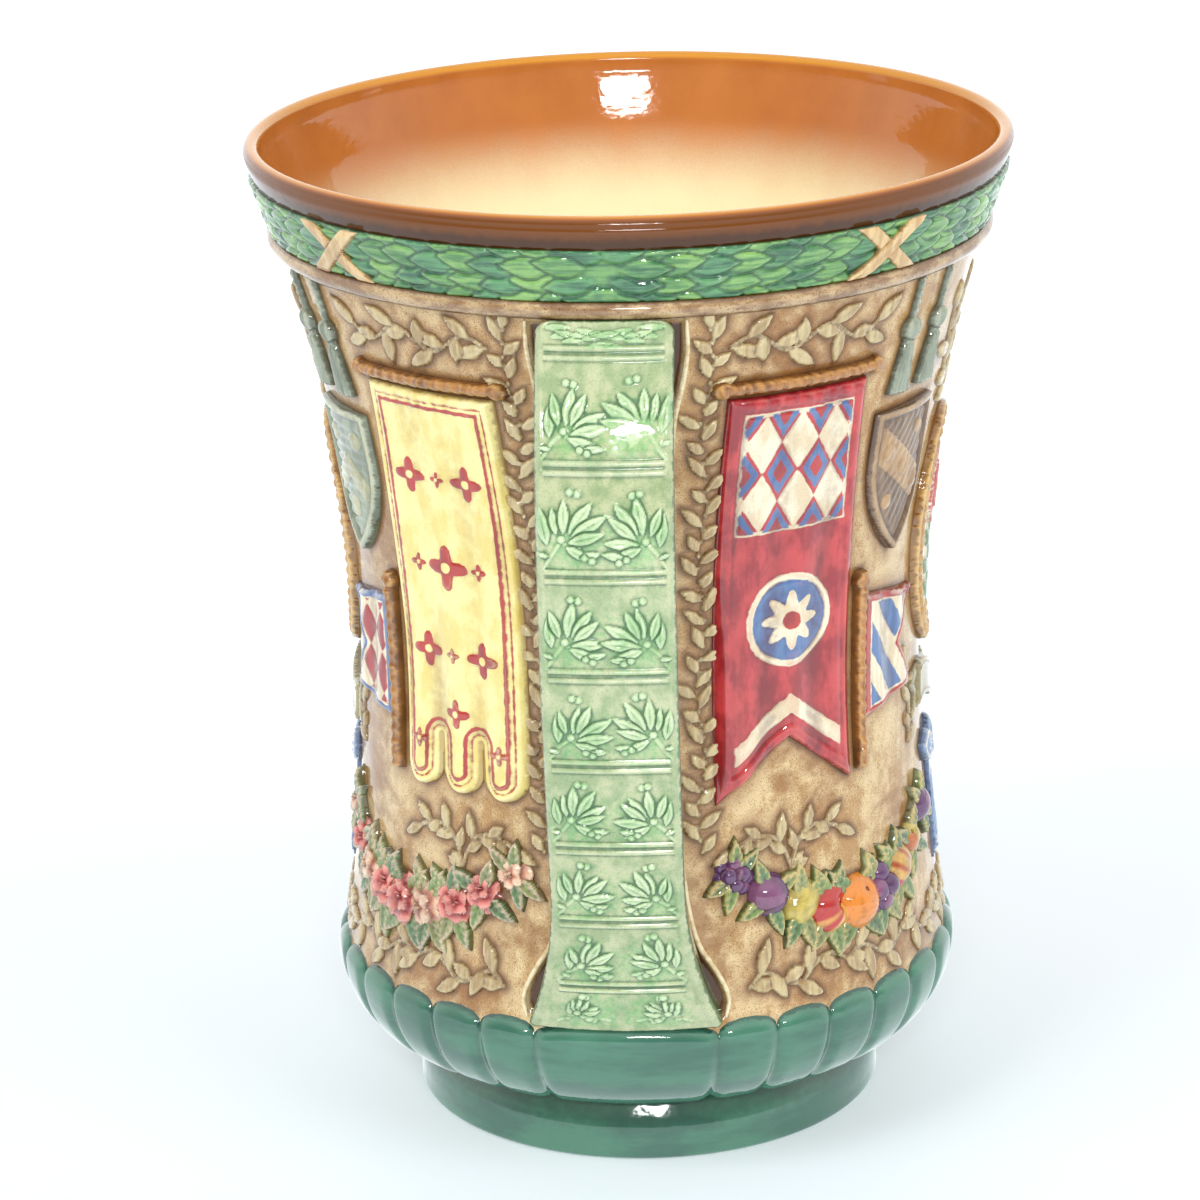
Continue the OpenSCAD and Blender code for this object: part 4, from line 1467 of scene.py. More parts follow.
        right = np.concatenate([x, half[:, None] * behind * 0.985], 1)
        out = np.sqrt((r[:, None] + lift * np.cos(tilt)[:, None]) ** 2 - right ** 2)
        up = z[:, None] + lift * np.sin(tilt)[:, None]
        points = swung(angle, right, out, up)
        index = np.arange(right.size).reshape(right.shape)
        quads = woven(index, np.roll(index, -1, axis=1))[:, ::-1]
        end = np.minimum(share, 1 - share)[:, None] * length + 0.1
        painted = {"leaf": (-inside, 2.0), "crest": (crest, 0.0), "fresh": (bed.tint - 6.0, 9.0),
                   "depth": (np.minimum(edge, end), 0.6)}
        paint = {key: backed(front, np.full(len(behind), rear)) for key, (front, rear) in painted.items()}
        along = np.concatenate([y, np.tile(y[:, :1], (1, len(behind)))], 1)
        flat = np.stack([right, along, np.full(right.shape, angle)], -1)
        sculpt = Sculpt()
        sculpt.add(points.reshape(-1, 3), [quads, index[:1], index[-1:, ::-1]],
                   {"flat": flat.reshape(-1, 3), **{k: v.reshape(-1) for k, v in paint.items()}})
        return sculpt.piece(name)


# Finishes of the record's material slots

RED_LINE = ((184, 52, 46), (150, 36, 34))
WASHED_BLUE = ((92, 124, 172), (66, 96, 146))
WARM_CREAM = ((240, 228, 200), (220, 200, 165))


# In each glaze below, the pool colour also paints shade in hollows and along edges, and the light colour also paints
# highlights on crests.
class Finish(Enum):
    """The finishes on the cup."""

    WALL = WallGlaze("wall_glaze", (224, 198, 150), (182, 142, 90), (96, 58, 28), (232, 212, 170),
                     pooling_and_shade=0.8, speckle=0.5, ior=1.42)
    LEAFWORK = Glaze("wall_glaze", (202, 182, 134), (164, 136, 90), (86, 54, 30), (240, 224, 184),
                     blot=0.03, pooling_and_shade=0.45)
    EDGE = Glaze("wall_glaze", (238, 222, 182), (214, 188, 138), (140, 100, 62), (250, 240, 210), pooling_and_shade=0.0)
    SEA_GREEN = Glaze("sea_green_glaze", (64, 120, 96), (46, 98, 80), (20, 52, 44), (112, 166, 134),
                      stroke=(0.03, 0.03, 0.16), blot=0.03, speckle=0.1)
    CORNICE = Glaze("cornice_glaze", (196, 166, 122), (140, 104, 68), (90, 56, 32), (236, 216, 172),
                    stroke=(0.12, 0.12, 0.3), edge=1.0, pooling_and_shade=0.75, speckle=0.7)
    LAUREL = Glaze("laurel_glaze", (112, 162, 92), (52, 110, 64), (22, 70, 46), (164, 202, 138),
                   zones=(Zone("bright", (134, 178, 98), (72, 128, 68), 0.5, 0.9),
                          Zone("teal", (86, 144, 96), (44, 96, 68), 0.5, 0.9)),
                   stroke=(0.08, 0.08, 0.9), blot=0.08, crest=0.26, pooling_and_shade=0.75)
    RIBBON = Glaze("ribbon_glaze", (222, 190, 135), (190, 150, 95), (110, 75, 45), (245, 225, 180))
    STRAP = Glaze("strap_glaze", (186, 192, 150), (150, 168, 122), (70, 106, 70), (224, 238, 204),
                  zones=(Zone("fresh", (152, 190, 130), (122, 172, 108), 4.5, 9.0),
                         Zone("leaf", (188, 208, 162), (146, 184, 126), 0.3, 0.2)),
                  stroke=(0.22, 0.16, 0.3), crest=0.24, pooling_and_shade=0.9, speckle=0.35)
    CRIMSON = Glaze("crimson_glaze", (196, 60, 62), (150, 26, 36), (88, 24, 22), (222, 112, 100),
                    stroke=(0.25, 0.1, 0.3), blot=0.09,
                    zones=(Zone("cream", *WARM_CREAM), Zone("blue", *WASHED_BLUE), Zone("red", *RED_LINE)))
    GILT = Glaze("gilt_brown_glaze", (176, 120, 58), (128, 80, 36), (70, 42, 22), (225, 180, 110))
    YELLOW = Glaze("yellow_glaze", (247, 234, 160), (234, 212, 124), (150, 108, 58), (252, 244, 200),
                   stroke=(0.2, 0.08, 0.3), blot=0.09, zones=(Zone("red", *RED_LINE),))
    BROWN_SHIELD = Glaze("brown_shield_glaze", (138, 110, 82), (104, 78, 54), (60, 42, 28), (190, 165, 130),
                         zones=(Zone("charge", (186, 150, 104), (158, 120, 78)),))
    GREEN_SHIELD = Glaze("grey_green_glaze", (150, 160, 136), (118, 128, 106), (70, 74, 56), (205, 210, 190),
                         zones=(Zone("charge", (190, 186, 150), (160, 158, 122)),))
    TASSEL = Glaze("grey_green_glaze", (150, 158, 136), (116, 124, 104), (66, 68, 52), (208, 212, 192))
    BLUE_CREAM = Glaze("blue_cream_glaze", *WARM_CREAM, (110, 88, 70), (250, 244, 226),
                       zones=(Zone("field", *WASHED_BLUE), Zone("hem", *RED_LINE)))
    BOW = Glaze("blue_cream_glaze", (118, 146, 186), (84, 112, 158), (58, 62, 84), (190, 206, 222),
                zones=(Zone("line", *WARM_CREAM),))
    RED_CREAM = Glaze("red_cream_glaze", *WARM_CREAM, (110, 80, 60), (250, 244, 226),
                      zones=(Zone("field", (186, 48, 48), (150, 32, 36)), Zone("hem", *WASHED_BLUE)))
    MEDALLION = Glaze("cream_glaze", (240, 230, 202), (222, 204, 166), (140, 104, 66), (250, 244, 224),
                      zones=(Zone("leaf", (118, 150, 92), (90, 124, 74)), Zone("petal", (206, 96, 84), (184, 62, 62)),
                             Zone("heart", (238, 204, 110), (214, 168, 76))))
    OCHRE = Glaze("ochre_glaze", (206, 160, 88), (172, 122, 58), (88, 54, 26), (238, 208, 140))
    OLIVE = Glaze("olive_glaze", (168, 156, 104), (140, 126, 80), (80, 62, 38), (212, 204, 160),
                  zones=(Zone("line", (110, 84, 50), (92, 66, 40)),))
    FRUIT = Glaze("fruit_glaze", (206, 120, 50), (176, 90, 40), (78, 46, 28), (244, 206, 140), tinted=True)
    ROSES = Glaze("rose_glaze", (214, 110, 100), (188, 76, 74), (92, 46, 38), (250, 210, 190), tinted=True)


def lute(piece: bpy.types.Object, node: str, finish: Finish) -> None:
    """Set a finished piece in place of its solid.

    Args:
        piece: The piece.
        node: The solid that it stands for, or nothing.
        finish: Its finish.
    """
    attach(piece, "root")
    if node:
        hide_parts(node)
    finish.value.dress(piece)
    log.info("%s stands for %s with %d faces", piece.name, node, len(piece.data.polygons))


# Ornaments on the wall

@dataclass
class Sprig(ABC):
    """A flat moulded ornament, modelled once and luted to both sides of the cup.

    Its angle is counted from the front handle, and its height is that of its origin.
    """

    node: str
    finish: Finish
    angle: float
    z: float
    low: Point
    high: Point
    offsets: tuple[float, ...] = (0.0,)
    pitch: float = 0.55

    @abstractmethod
    def outside(self, x: Array, y: Array) -> Array:
        """Measure how far points lie outside the ornament; it is negative inside.

        Args:
            x: Points across.
            y: Points up.

        Returns:
            Distances.
        """

    @abstractmethod
    def model(self, relief: Relief) -> None:
        """Set the heights and the painted areas of the ornament.

        Args:
            relief: What is modelled.
        """

    def seats(self, start: float) -> list[Seat]:
        """List where the ornament sits on the side that starts at an angle."""
        return [Seat(start + self.angle + offset, self.z) for offset in self.offsets]

    def shapes(self) -> list[tuple[Seat, Field, float]]:
        """List each seat with its outline and how far the ornament reaches, for the wash and painted shade round it."""
        size = max(abs(v) for v in (*self.low, *self.high))
        return [(seat, self.outside, size) for start in SIDES.values() for seat in self.seats(start)]

    def build(self, form: CupForm) -> None:
        """Model the ornament on both sides.

        Args:
            form: The cup's form.
        """
        relief = Relief(self.outside, self.low, self.high, self.pitch)
        self.model(relief)
        for side, start in SIDES.items():
            sculpt = Sculpt()
            for seat in self.seats(start):
                relief.lute(sculpt, form, seat)
            lute(sculpt.piece(f"{self.node}_{side}_sprig"), f"{self.node}_{side}", self.finish)


def lozenges(x: Array, y: Array, width: float, height: float) -> tuple[Array, Array]:
    """Divide the plane into lozenges.

    Args:
        x: Points across.
        y: Points up.
        width: Width of a lozenge.
        height: Its height.

    Returns:
        The distance to the nearest edge, and the same with its sign changed in every other lozenge.
    """
    u, v = x / width + y / height, x / width - y / height
    edge = np.minimum(np.abs(u - np.round(u)), np.abs(v - np.round(v))) / math.hypot(1 / width, 1 / height)
    return edge, np.where((np.floor(u) + np.floor(v)) % 2 == 0, -edge, edge)


def rosette(x: Array, y: Array, petals: int, radius: float, sway: float) -> Array:
    """Measure how far points lie outside a flower of round petals."""
    return np.hypot(x, y) - radius - sway * np.cos(petals * np.arctan2(x, y))


@dataclass
class Banner(Sprig):
    """A hanging banner of folded cloth, gathered at its top."""

    width: float = 40.0
    length: float = 110.0
    relief: float = 2.6
    round_edge: float = 1.6
    thinnest: float = 0.5
    pleat_width: float = 4.2
    pleat_depth: float = 0.22
    pleated_share: float = 0.08

    def cloth(self, relief: Relief, fold: Array) -> Array:
        """Hang the cloth in folds, with small pleats at its top.

        Args:
            relief: What is modelled.
            fold: Height of the folds.

        Returns:
            Heights of the bare cloth.
        """
        pleat = np.sin(2 * np.pi * relief.x / self.pleat_width) * self.pleat_depth
        pleat *= 1 - smooth(-relief.y / self.length, 0.0, self.pleated_share)
        return dome(relief.depth, self.relief - self.thinnest, self.round_edge) + fold + pleat


@dataclass
class SwallowtailBanner(Banner):
    """A banner that ends in two points, with a lozenge field and a roundel."""

    tail: float = 16.0
    fold_width: float = 14.5
    panel_y: float = -21.0
    panel_half: Point = (15.4, 16.0)
    lozenge: Point = (10.27, 16.0)
    roundel_y: float = -62.0
    roundel_radius: float = 12.6
    star: Point = (6.4, 1.7)
    star_heart: float = 2.5
    chevron_rise: float = 25.5
    chevron_half: float = 2.0

    def outside(self, x: Array, y: Array) -> Array:
        """Measure how far points lie outside the banner."""
        w, low = self.width / 2, -self.length
        return polygon([(-w, 0), (-w, low), (0, self.tail - self.length), (w, low), (w, 0)])(x, y)

    def model(self, relief: Relief) -> None:
        """Fold the cloth, and paint lozenges above, a roundel in the middle and a chevron below.

        Args:
            relief: What is modelled.
        """
        x, y = relief.x, relief.y
        fold = np.sin(2 * np.pi * (x / self.fold_width + 0.12 * np.sin(y / 17)) + 0.6)
        fold *= 0.3 + 0.7 * (-y / self.length)
        panel = np.maximum(np.abs(x) - self.panel_half[0], np.abs(y - self.panel_y) - self.panel_half[1])
        edge, checks = lozenges(x, y - self.panel_y, *self.lozenge)
        ring = np.hypot(x, y - self.roundel_y) - self.roundel_radius
        flower = rosette(x, y - self.roundel_y, 8, *self.star)
        slope = self.tail / (self.width / 2)
        chevron = np.abs(y + self.length - self.chevron_rise + slope * np.abs(x)) / 1.28 - self.chevron_half
        chevron = np.maximum(chevron, 4.4 - relief.depth)
        # Painted light and shade on the folds, through the crest paint.
        relief.fold = 0.25 * fold
        height = self.cloth(relief, fold)
        height += 0.4 * ridge(relief.depth - 2.6, 0.7) - 0.3 * ridge(relief.depth - 3.9, 0.5)
        height += 0.3 * smooth(edge, 0.0, 1.0) * (panel < 0) - 0.3 * ridge(panel, 0.5)
        height += 0.55 * smooth(-ring, -0.2, 0.9) - 0.4 * ridge(ring + 1.8, 0.45) + 0.4 * smooth(-flower, -0.1, 0.8)
        height += 0.35 * smooth(-chevron, -0.1, 0.6)
        relief.height = np.maximum(height, self.thinnest)
        dark = np.maximum(checks, panel)
        relief.paint = {
            "cream": np.minimum.reduce([np.maximum(-checks, panel), ring, chevron, np.abs(panel) - 0.55]),
            "blue": np.minimum(np.maximum(dark, 0.9 - edge), np.maximum(ring + 1.8, -flower)),
            "red": np.minimum(np.hypot(x, y - self.roundel_y) - self.star_heart, np.maximum(dark, 2.5 - edge))}


@dataclass
class TonguedBanner(Banner):
    """A banner that ends in three round tongues, with a line border and quatrefoils."""

    notch: float = 8.0
    border: float = 4.2
    petal: Point = (3.6, 1.35)
    heart: float = 1.15
    flowers: tuple[Triple, ...] = (
        (-9, -24, 1), (9, -24, 1), (0, -48, 1.25), (-9, -72, 1), (9, -72, 1), (0, -24, 0.45),
        (-9.5, -48, 0.5), (9.5, -48, 0.5), (0, -72, 0.45), (0, -88, 0.8), (-13.3, -97, 0.55), (13.3, -97, 0.55))

    def outside(self, x: Array, y: Array) -> Array:
        """Measure how far points lie outside the banner.

        Args:
            x: Points across.
            y: Points up.

        Returns:
            Distances.
        """
        w, tongue = self.width / 2, self.width / 6
        middle = tongue - self.length
        ends = [(place + tongue * heading(a)[0], middle + (self.notch if a % 180 == 0 else tongue * heading(a)[1]))
                for place in (w - tongue, 0, tongue - w) for a in range(0, -181, -15)]
        return polygon([(-w, 0), (w, 0), *ends])(x, y)

    def model(self, relief: Relief) -> None:
        """Fold the cloth in line with its tongues, and paint its border and flowers.

        Args:
            relief: What is modelled.
        """
        x, y = relief.x, relief.y
        fold = np.cos(2 * np.pi * x / (self.width / 3)) * (0.15 + 0.75 * smooth(-y / self.length, 0.15, 1.0))
        fold += 0.4 * np.sin(y / 13 + x / 9)
        petals = np.minimum.reduce([rosette(x - fx, y - fy, 4, self.petal[0] * size, self.petal[1] * size)
                                    for fx, fy, size in self.flowers])
        hearts = union(*[disc(fx, fy, self.heart * size) for fx, fy, size in self.flowers])(x, y)
        # Painted light and shade on the folds, through the crest paint.
        relief.fold = 0.17 * fold
        height = self.cloth(relief, fold)
        height += 0.35 * ridge(relief.depth - 1.5, 0.6) + 0.45 * smooth(-petals, -0.2, 0.7)
        height += 0.3 * ridge(relief.depth - self.border, 0.5)
        relief.height = np.maximum(height, self.thinnest)
        lines = np.minimum(np.abs(relief.depth - self.border) - 0.55, np.abs(relief.depth - 2.6) - 0.25)
        relief.paint = {"red": np.minimum(lines, np.maximum(petals, -hearts))}


@dataclass
class TurnedRod(Sprig):
    """A half-round rod with a ball at its ends and rings turned into it."""

    length: float = 44.4
    rod: float = 3.5
    ball: float = 5.0
    relief: float = 3.4
    upright: bool = False

    def along(self, x: Array, y: Array) -> tuple[Array, Array]:
        """Find places along the rod from its middle, and across it."""
        return (y + self.length / 2, x) if self.upright else (x, y)

    def outside(self, x: Array, y: Array) -> Array:
        """Measure how far points lie outside the rod and its balls.

        Args:
            x: Points across.
            y: Points up.

        Returns:
            Distances.
        """
        s, across = self.along(x, y)
        half, ball = self.length / 2, self.ball / 2
        bar = np.maximum(np.abs(s) - half, np.abs(across) - self.rod / 2)
        top = np.hypot(s - half + (ball if self.upright else 0), across) - ball
        low = bar if self.upright else np.hypot(s + half, across) - ball
        return np.minimum.reduce([bar, top, low])

    def model(self, relief: Relief) -> None:
        """Round the rod, with paired rings and a twist cut into it.

        Args:
            relief: What is modelled.
        """
        s, across = self.along(relief.x, relief.y)
        places = (self.length * 0.4, self.length * 0.4 - 1.8, 0.9)
        rings = sum(ridge(np.abs(s) - place, 0.45) for place in places)
        twist = 0.18 * np.sin(2 * np.pi * (s / 3.4 + across / 5))
        relief.height = 0.5 + dome(relief.depth, self.relief - 0.6, self.rod / 2 + 0.1) + 0.3 * rings + twist


class Charge(Enum):
    """What a shield carries."""

    BEND = "a slanting band with roundels"
    CHEVRON = "a chevron between roundels"


@dataclass
class Shield(Sprig):
    """A domed shield with a raised rim."""

    charge: Charge = Charge.BEND
    width: float = 27.0
    length: float = 40.0
    straight: float = 13.0
    relief: float = 3.0

    def outside(self, x: Array, y: Array) -> Array:
        """Measure how far points lie outside the shield.

        Args:
            x: Points across.
            y: Points up.

        Returns:
            Distances.
        """
        w, drop = self.width / 2, self.length - self.straight
        arc = arc_radius(drop, w)
        end = math.degrees(math.asin(drop / arc))
        side = arc_points(w - arc, -self.straight, arc, 0, -end, 14)
        return polygon([(-w, 0), (w, 0), *side, *[(-px, py) for px, py in reversed(side[:-1])]])(x, y)

    def model(self, relief: Relief) -> None:
        """Dome the shield, cut lines into its field and raise its charge.

        Args:
            relief: What is modelled.
        """
        x, y = relief.x, relief.y
        if self.charge is Charge.BEND:
            band = np.abs(y + 17 + 0.75 * x) / 1.25 - 4.2
            spots = [(-7.5, -11.4, 2.3), (0, -17, 2.5), (7, -22.2, 2.3), (6.5, -7.5, 2.0), (-5.5, -25.5, 2.0)]
            lines = np.sin(2 * np.pi * (x - 0.75 * y) / 3.2)
        else:
            band = np.abs(y + 16 + 0.8 * np.abs(x)) / 1.28 - 2.7
            spots = [(-6.5, -8.5, 2.5), (6.5, -8.5, 2.5), (0, -27.5, 2.9)]
            lines = np.sin(2 * np.pi * y / 2.8)
        discs, on_band = (union(*[disc(*spot) for spot in group])(x, y) for group in (spots, spots[:3]))
        band = np.maximum(band, 3.0 - relief.depth)
        field_height = 1.0 + 1.1 * (1 - (x / (self.width / 2)) ** 2) + 0.12 * lines * (relief.depth > 3)
        rim = 0.75 * (1 - smooth(relief.depth, 1.7, 2.5)) - 0.35 * ridge(relief.depth - 2.7, 0.35)
        height = np.minimum(field_height + rim, dome(relief.depth, self.relief, 1.5) + 0.4)
        height += 0.5 * smooth(-band, -0.1, 0.7) + 0.55 * dome(-discs, 1.0, 2.0)
        relief.height = height
        charged = np.minimum(band if self.charge is Charge.CHEVRON else np.maximum(band, -on_band), discs)
        relief.paint = {"charge": np.minimum(charged, np.abs(relief.depth - 1.0) - 0.5)}


class Pattern(Enum):
    """How a pennant is painted."""

    STRIPES = "slanting stripes"
    LOZENGES = "lozenges"


@dataclass
class Pennant(Sprig):
    """A small flag, notched at its free end, that waves from its staff."""

    pattern: Pattern = Pattern.STRIPES
    width: float = 25.0
    length: float = 34.0
    notch: float = 9.0
    taper: float = 4.0
    relief: float = 2.4
    stripe: float = 9.6
    lozenge: Point = (8.4, 11.4)

    @property
    def way(self) -> int:
        """1 where the pennant flies towards +x, or -1."""
        return 1 if self.high[0] > 5 else -1

    def outside(self, x: Array, y: Array) -> Array:
        """Measure how far points lie outside the pennant.

        Args:
            x: Points across.
            y: Points up.

        Returns:
            Distances.
        """
        corners = [(0, 0), (self.width, -self.taper), (self.width - self.notch, -self.length / 2),
                   (self.width, self.taper - self.length), (0, -self.length)]
        return polygon([(self.way * px, py) for px, py in corners])(x, y)

    def model(self, relief: Relief) -> None:
        """Wave the cloth and paint its pattern and hem.

        Args:
            relief: What is modelled.
        """
        x, y = self.way * relief.x, relief.y
        wave = 0.62 * np.sin(2 * np.pi * x / 12.5 + y / 15 + 0.7) * smooth(x, 0, 9)
        if self.pattern is Pattern.STRIPES:
            across = (0.82 * x + 0.57 * y) % self.stripe
            edge = np.abs(across - self.stripe / 2) - self.stripe / 4
            seam = np.abs(edge)
        else:
            seam, edge = lozenges(x, y, *self.lozenge)
        # Painted light and shade on the waves, through the crest paint.
        relief.fold = 0.2 * wave
        height = dome(relief.depth, self.relief - 0.5, 1.4) + wave
        height += 0.35 * ridge(relief.depth - 1.2, 0.6) - 0.22 * ridge(seam, 0.4) * (relief.depth > 2.2)
        relief.height = np.maximum(height, 0.5)
        inner = 2.5 - relief.depth
        relief.paint = {"field": np.maximum(edge, inner), "hem": relief.depth - 2.0}


@dataclass
class Medallion(Sprig):
    """An oval plaque with a flower, its stem and its leaves."""

    width: float = 33.0
    length: float = 56.0
    flower_y: float = 10.0
    heart: float = 1.9
    petals: tuple[tuple[float, float, float, int], ...] = ((6.0, 4.6, 0.7, 6), (3.1, 3.2, 1.2, 5))
    leaf_width: float = 4.8
    leaves: tuple[Triple, ...] = (
        (-19, 32, 10.5), (-20, 150, 10), (-12, 26, 12.5), (-13, 156, 12), (-5, 34, 11), (-6, 146, 10.5))

    def outside(self, x: Array, y: Array) -> Array:
        """Measure how far points lie outside the oval."""
        return oval(self.width / 2, self.length / 2)(x, y)

    def bend(self, y: Array) -> Array:
        """Find how far the stem lies to the right at a height."""
        return 1.6 * np.sin((y - 6) / 9)

    def model(self, relief: Relief) -> None:
        """Raise a flower with two rings of petals on a leafy stem.

        Args:
            relief: What is modelled.
        """
        x, y = relief.x, relief.y
        base = 0.6 + dome(relief.depth, 0.7, 9.0)
        stem = np.maximum(np.abs(x - self.bend(y)), np.abs(y + 8) - 15)
        height = base + 0.8 * ridge(np.maximum(stem, 0), 0.9)
        leafy, petal = np.minimum(stem - 0.7, 9.0), np.full(x.shape, 9.0)
        for level, turn, length in self.leaves:
            leaf = Leaf(float(self.bend(level)), level, turn, length, self.leaf_width)
            height = np.maximum(height, base + leaf.height(x, y, 0.95, 0.25))
            leafy = np.minimum(leafy, -leaf.depth(x, y))
        for ring, (reach, size, lift, count) in enumerate(self.petals):
            for k in range(count):
                a = 2 * math.pi * (k + 0.5 * ring) / count
                px, py = reach * math.sin(a), self.flower_y + reach * math.cos(a)
                away = np.hypot(x - px, y - py) / size
                crease = ridge((x - px) * math.cos(a) - (y - py) * math.sin(a), 0.4)
                cup = base + lift + 0.55 * away ** 2 - 0.3 * crease
                height = np.where(away < 1, np.maximum(height, cup), height)
                petal = np.minimum(petal, (away - 1) * size)
        heart = np.hypot(x, y - self.flower_y) - self.heart
        height = np.where(heart < 0, base + 1.5 + dome(-heart, 0.5, self.heart), height)
        relief.height = np.minimum(height, 0.5 + dome(relief.depth, 4.0, 1.2))
        relief.paint = {"leaf": leafy, "petal": petal, "heart": heart}


@dataclass
class BeadedFrame(Sprig):
    """An oval moulding with a row of beads."""

    width: float = 33.0
    length: float = 56.0
    frame: float = 5.0
    beads: int = 46
    bead_radius: float = 1.55

    def outside(self, x: Array, y: Array) -> Array:
        """Measure how far points lie outside the oval ring."""
        w, h = self.width / 2, self.length / 2
        return np.maximum(oval(w + self.frame, h + self.frame)(x, y), -oval(w, h)(x, y))

    def model(self, relief: Relief) -> None:
        """Round the moulding and set beads along its middle.

        Args:
            relief: What is modelled.
        """
        half_w, half_l = self.width / 2 + self.frame / 2, self.length / 2 + self.frame / 2
        turns = np.linspace(-np.pi, np.pi, 721)
        steps = np.hypot(np.diff(half_w * np.cos(turns)), np.diff(half_l * np.sin(turns)))
        lengths = np.concatenate([[0], np.cumsum(steps)])
        s = np.interp(np.arctan2(relief.y / half_l, relief.x / half_w), turns, lengths)
        pitch = lengths[-1] / self.beads
        off = (s / pitch % 1 - 0.5) * pitch
        across = oval(half_w, half_l)(relief.x, relief.y)
        bead = np.sqrt(np.clip(self.bead_radius ** 2 - off ** 2 - across ** 2, 0, None))
        rail = dome(relief.depth, 2.0, 0.9) - 0.9 * smooth(relief.depth, 0.7, 1.3)
        relief.height = 0.5 + np.maximum(rail, np.where(bead > 0, 0.9 + bead, 0))


@dataclass
class Scroll(Sprig):
    """A blank ribbon that rises and falls once, with its ends turned under."""

    length: float = 44.0
    width: float = 11.0
    wave: float = 3.0
    fold_at: float = 15.5
    line_inset: float = 1.6

    def middle(self, x: Array) -> Array:
        """Find the height of the ribbon's middle line."""
        return self.wave * np.sin(2 * np.pi * (x / self.length + 0.5))

    def outside(self, x: Array, y: Array) -> Array:
        """Measure how far points lie outside the ribbon, which has forked ends.

        Args:
            x: Points across.
            y: Points up.

        Returns:
            Distances.
        """
        off = np.abs(y - self.middle(x))
        end = np.abs(x) - self.length / 2 + np.clip(3.2 - 0.8 * off, 0, None)
        return np.maximum(off * 0.93 - self.width / 2 * 0.93, end)

    def model(self, relief: Relief) -> None:
        """Bow the ribbon, with its ends lower behind a fold and a line along each edge.

        Args:
            relief: What is modelled.
        """
        x, off = relief.x, relief.y - self.middle(relief.x)
        fold = np.abs(x) - self.fold_at - 0.25 * off * np.sign(x)
        belly = 1.7 + 0.35 * np.cos(x / 4.2)
        height = np.where(fold < 0, belly + 0.5 * dome(-fold, 1.0, 1.5), 0.9 + 0.35 * smooth(np.abs(x), 16, 22))
        height += 0.3 * ridge(relief.depth - self.line_inset, 0.45) - 0.4 * ridge(fold, 0.5)
        relief.height = np.minimum(height, 0.5 + dome(relief.depth, 3.0, 1.0))
        relief.paint = {"line": np.maximum(np.abs(relief.depth - self.line_inset) - 0.3, fold + 0.6)}


@dataclass
class Bow(Sprig):
    """A tied bow with two loops, a knot and two hanging ends."""

    loop_length: float = 13.0
    loop_width: float = 9.0
    slant: float = 15.0
    knot: float = 3.0
    tail_width: float = 4.5
    tail_length: float = 30.0

    def tails(self) -> Field:
        """Make the signed distance to the two hanging ends.

        Returns:
            A function of x and y.
        """
        half = self.tail_width / 2
        side = [(self.knot, -self.knot / 2), (self.knot + 2 * half, -self.tail_length),
                (self.knot + half, 2 * half - self.tail_length), (self.knot - half, -self.tail_length)]
        return polygon([*[(-x, y) for x, y in side], (0, -2 * self.knot), *reversed(side)])

    def loop(self, side: int) -> Leaf:
        """Make one loop."""
        turn = self.slant if side > 0 else 180 - self.slant
        return Leaf(0, self.knot / 2 - 0.8, turn, self.loop_length + 1, self.loop_width)

    def outside(self, x: Array, y: Array) -> Array:
        """Measure how far points lie outside the whole bow."""
        loops = [-self.loop(side).depth(x, y) for side in (-1, 1)]
        return np.minimum.reduce([self.tails()(x, y), np.hypot(x, y) - self.knot, *loops])

    def model(self, relief: Relief) -> None:
        """Puff the loops, crease them towards the knot, and fold the hanging ends.

        Args:
            relief: What is modelled.
        """
        x, y = relief.x, relief.y
        tails = self.tails()(x, y)
        crease = 0.22 * np.cos(2 * np.pi * (np.abs(x) - 3 + 0.12 * y) / 2.3)
        height = np.where(tails < 0.2, 0.5 + dome(-tails, 0.9, 1.2) + crease * smooth(-y, 4, 10), 0.4)
        for side in (-1, 1):
            u, v = self.loop(side).axes(x, y)
            inside = self.loop(side).depth(x, y)
            gathers = 0.3 * np.cos(2 * np.pi * v / (1.0 + 2.2 * np.clip(u, 0, 1))) * (1 - smooth(u, 0.3, 0.85))
            puff = 0.9 + dome(inside, 1.6, 2.6) - 0.8 * dome(inside - 1.7, 1.0, 1.6) * smooth(u, 0.45, 0.75)
            puff += gathers
            height = np.where(inside > -0.2, np.maximum(height, puff), height)
        tied = self.knot - np.hypot(x, y)
        knot = 1.2 + dome(tied, 1.5, 2.4) + 0.15 * np.cos(2.4 * x)
        relief.height = np.where(tied > -0.2, np.maximum(height, knot), height)
        relief.paint = {"line": np.abs(relief.depth - 1.1) - 0.28}


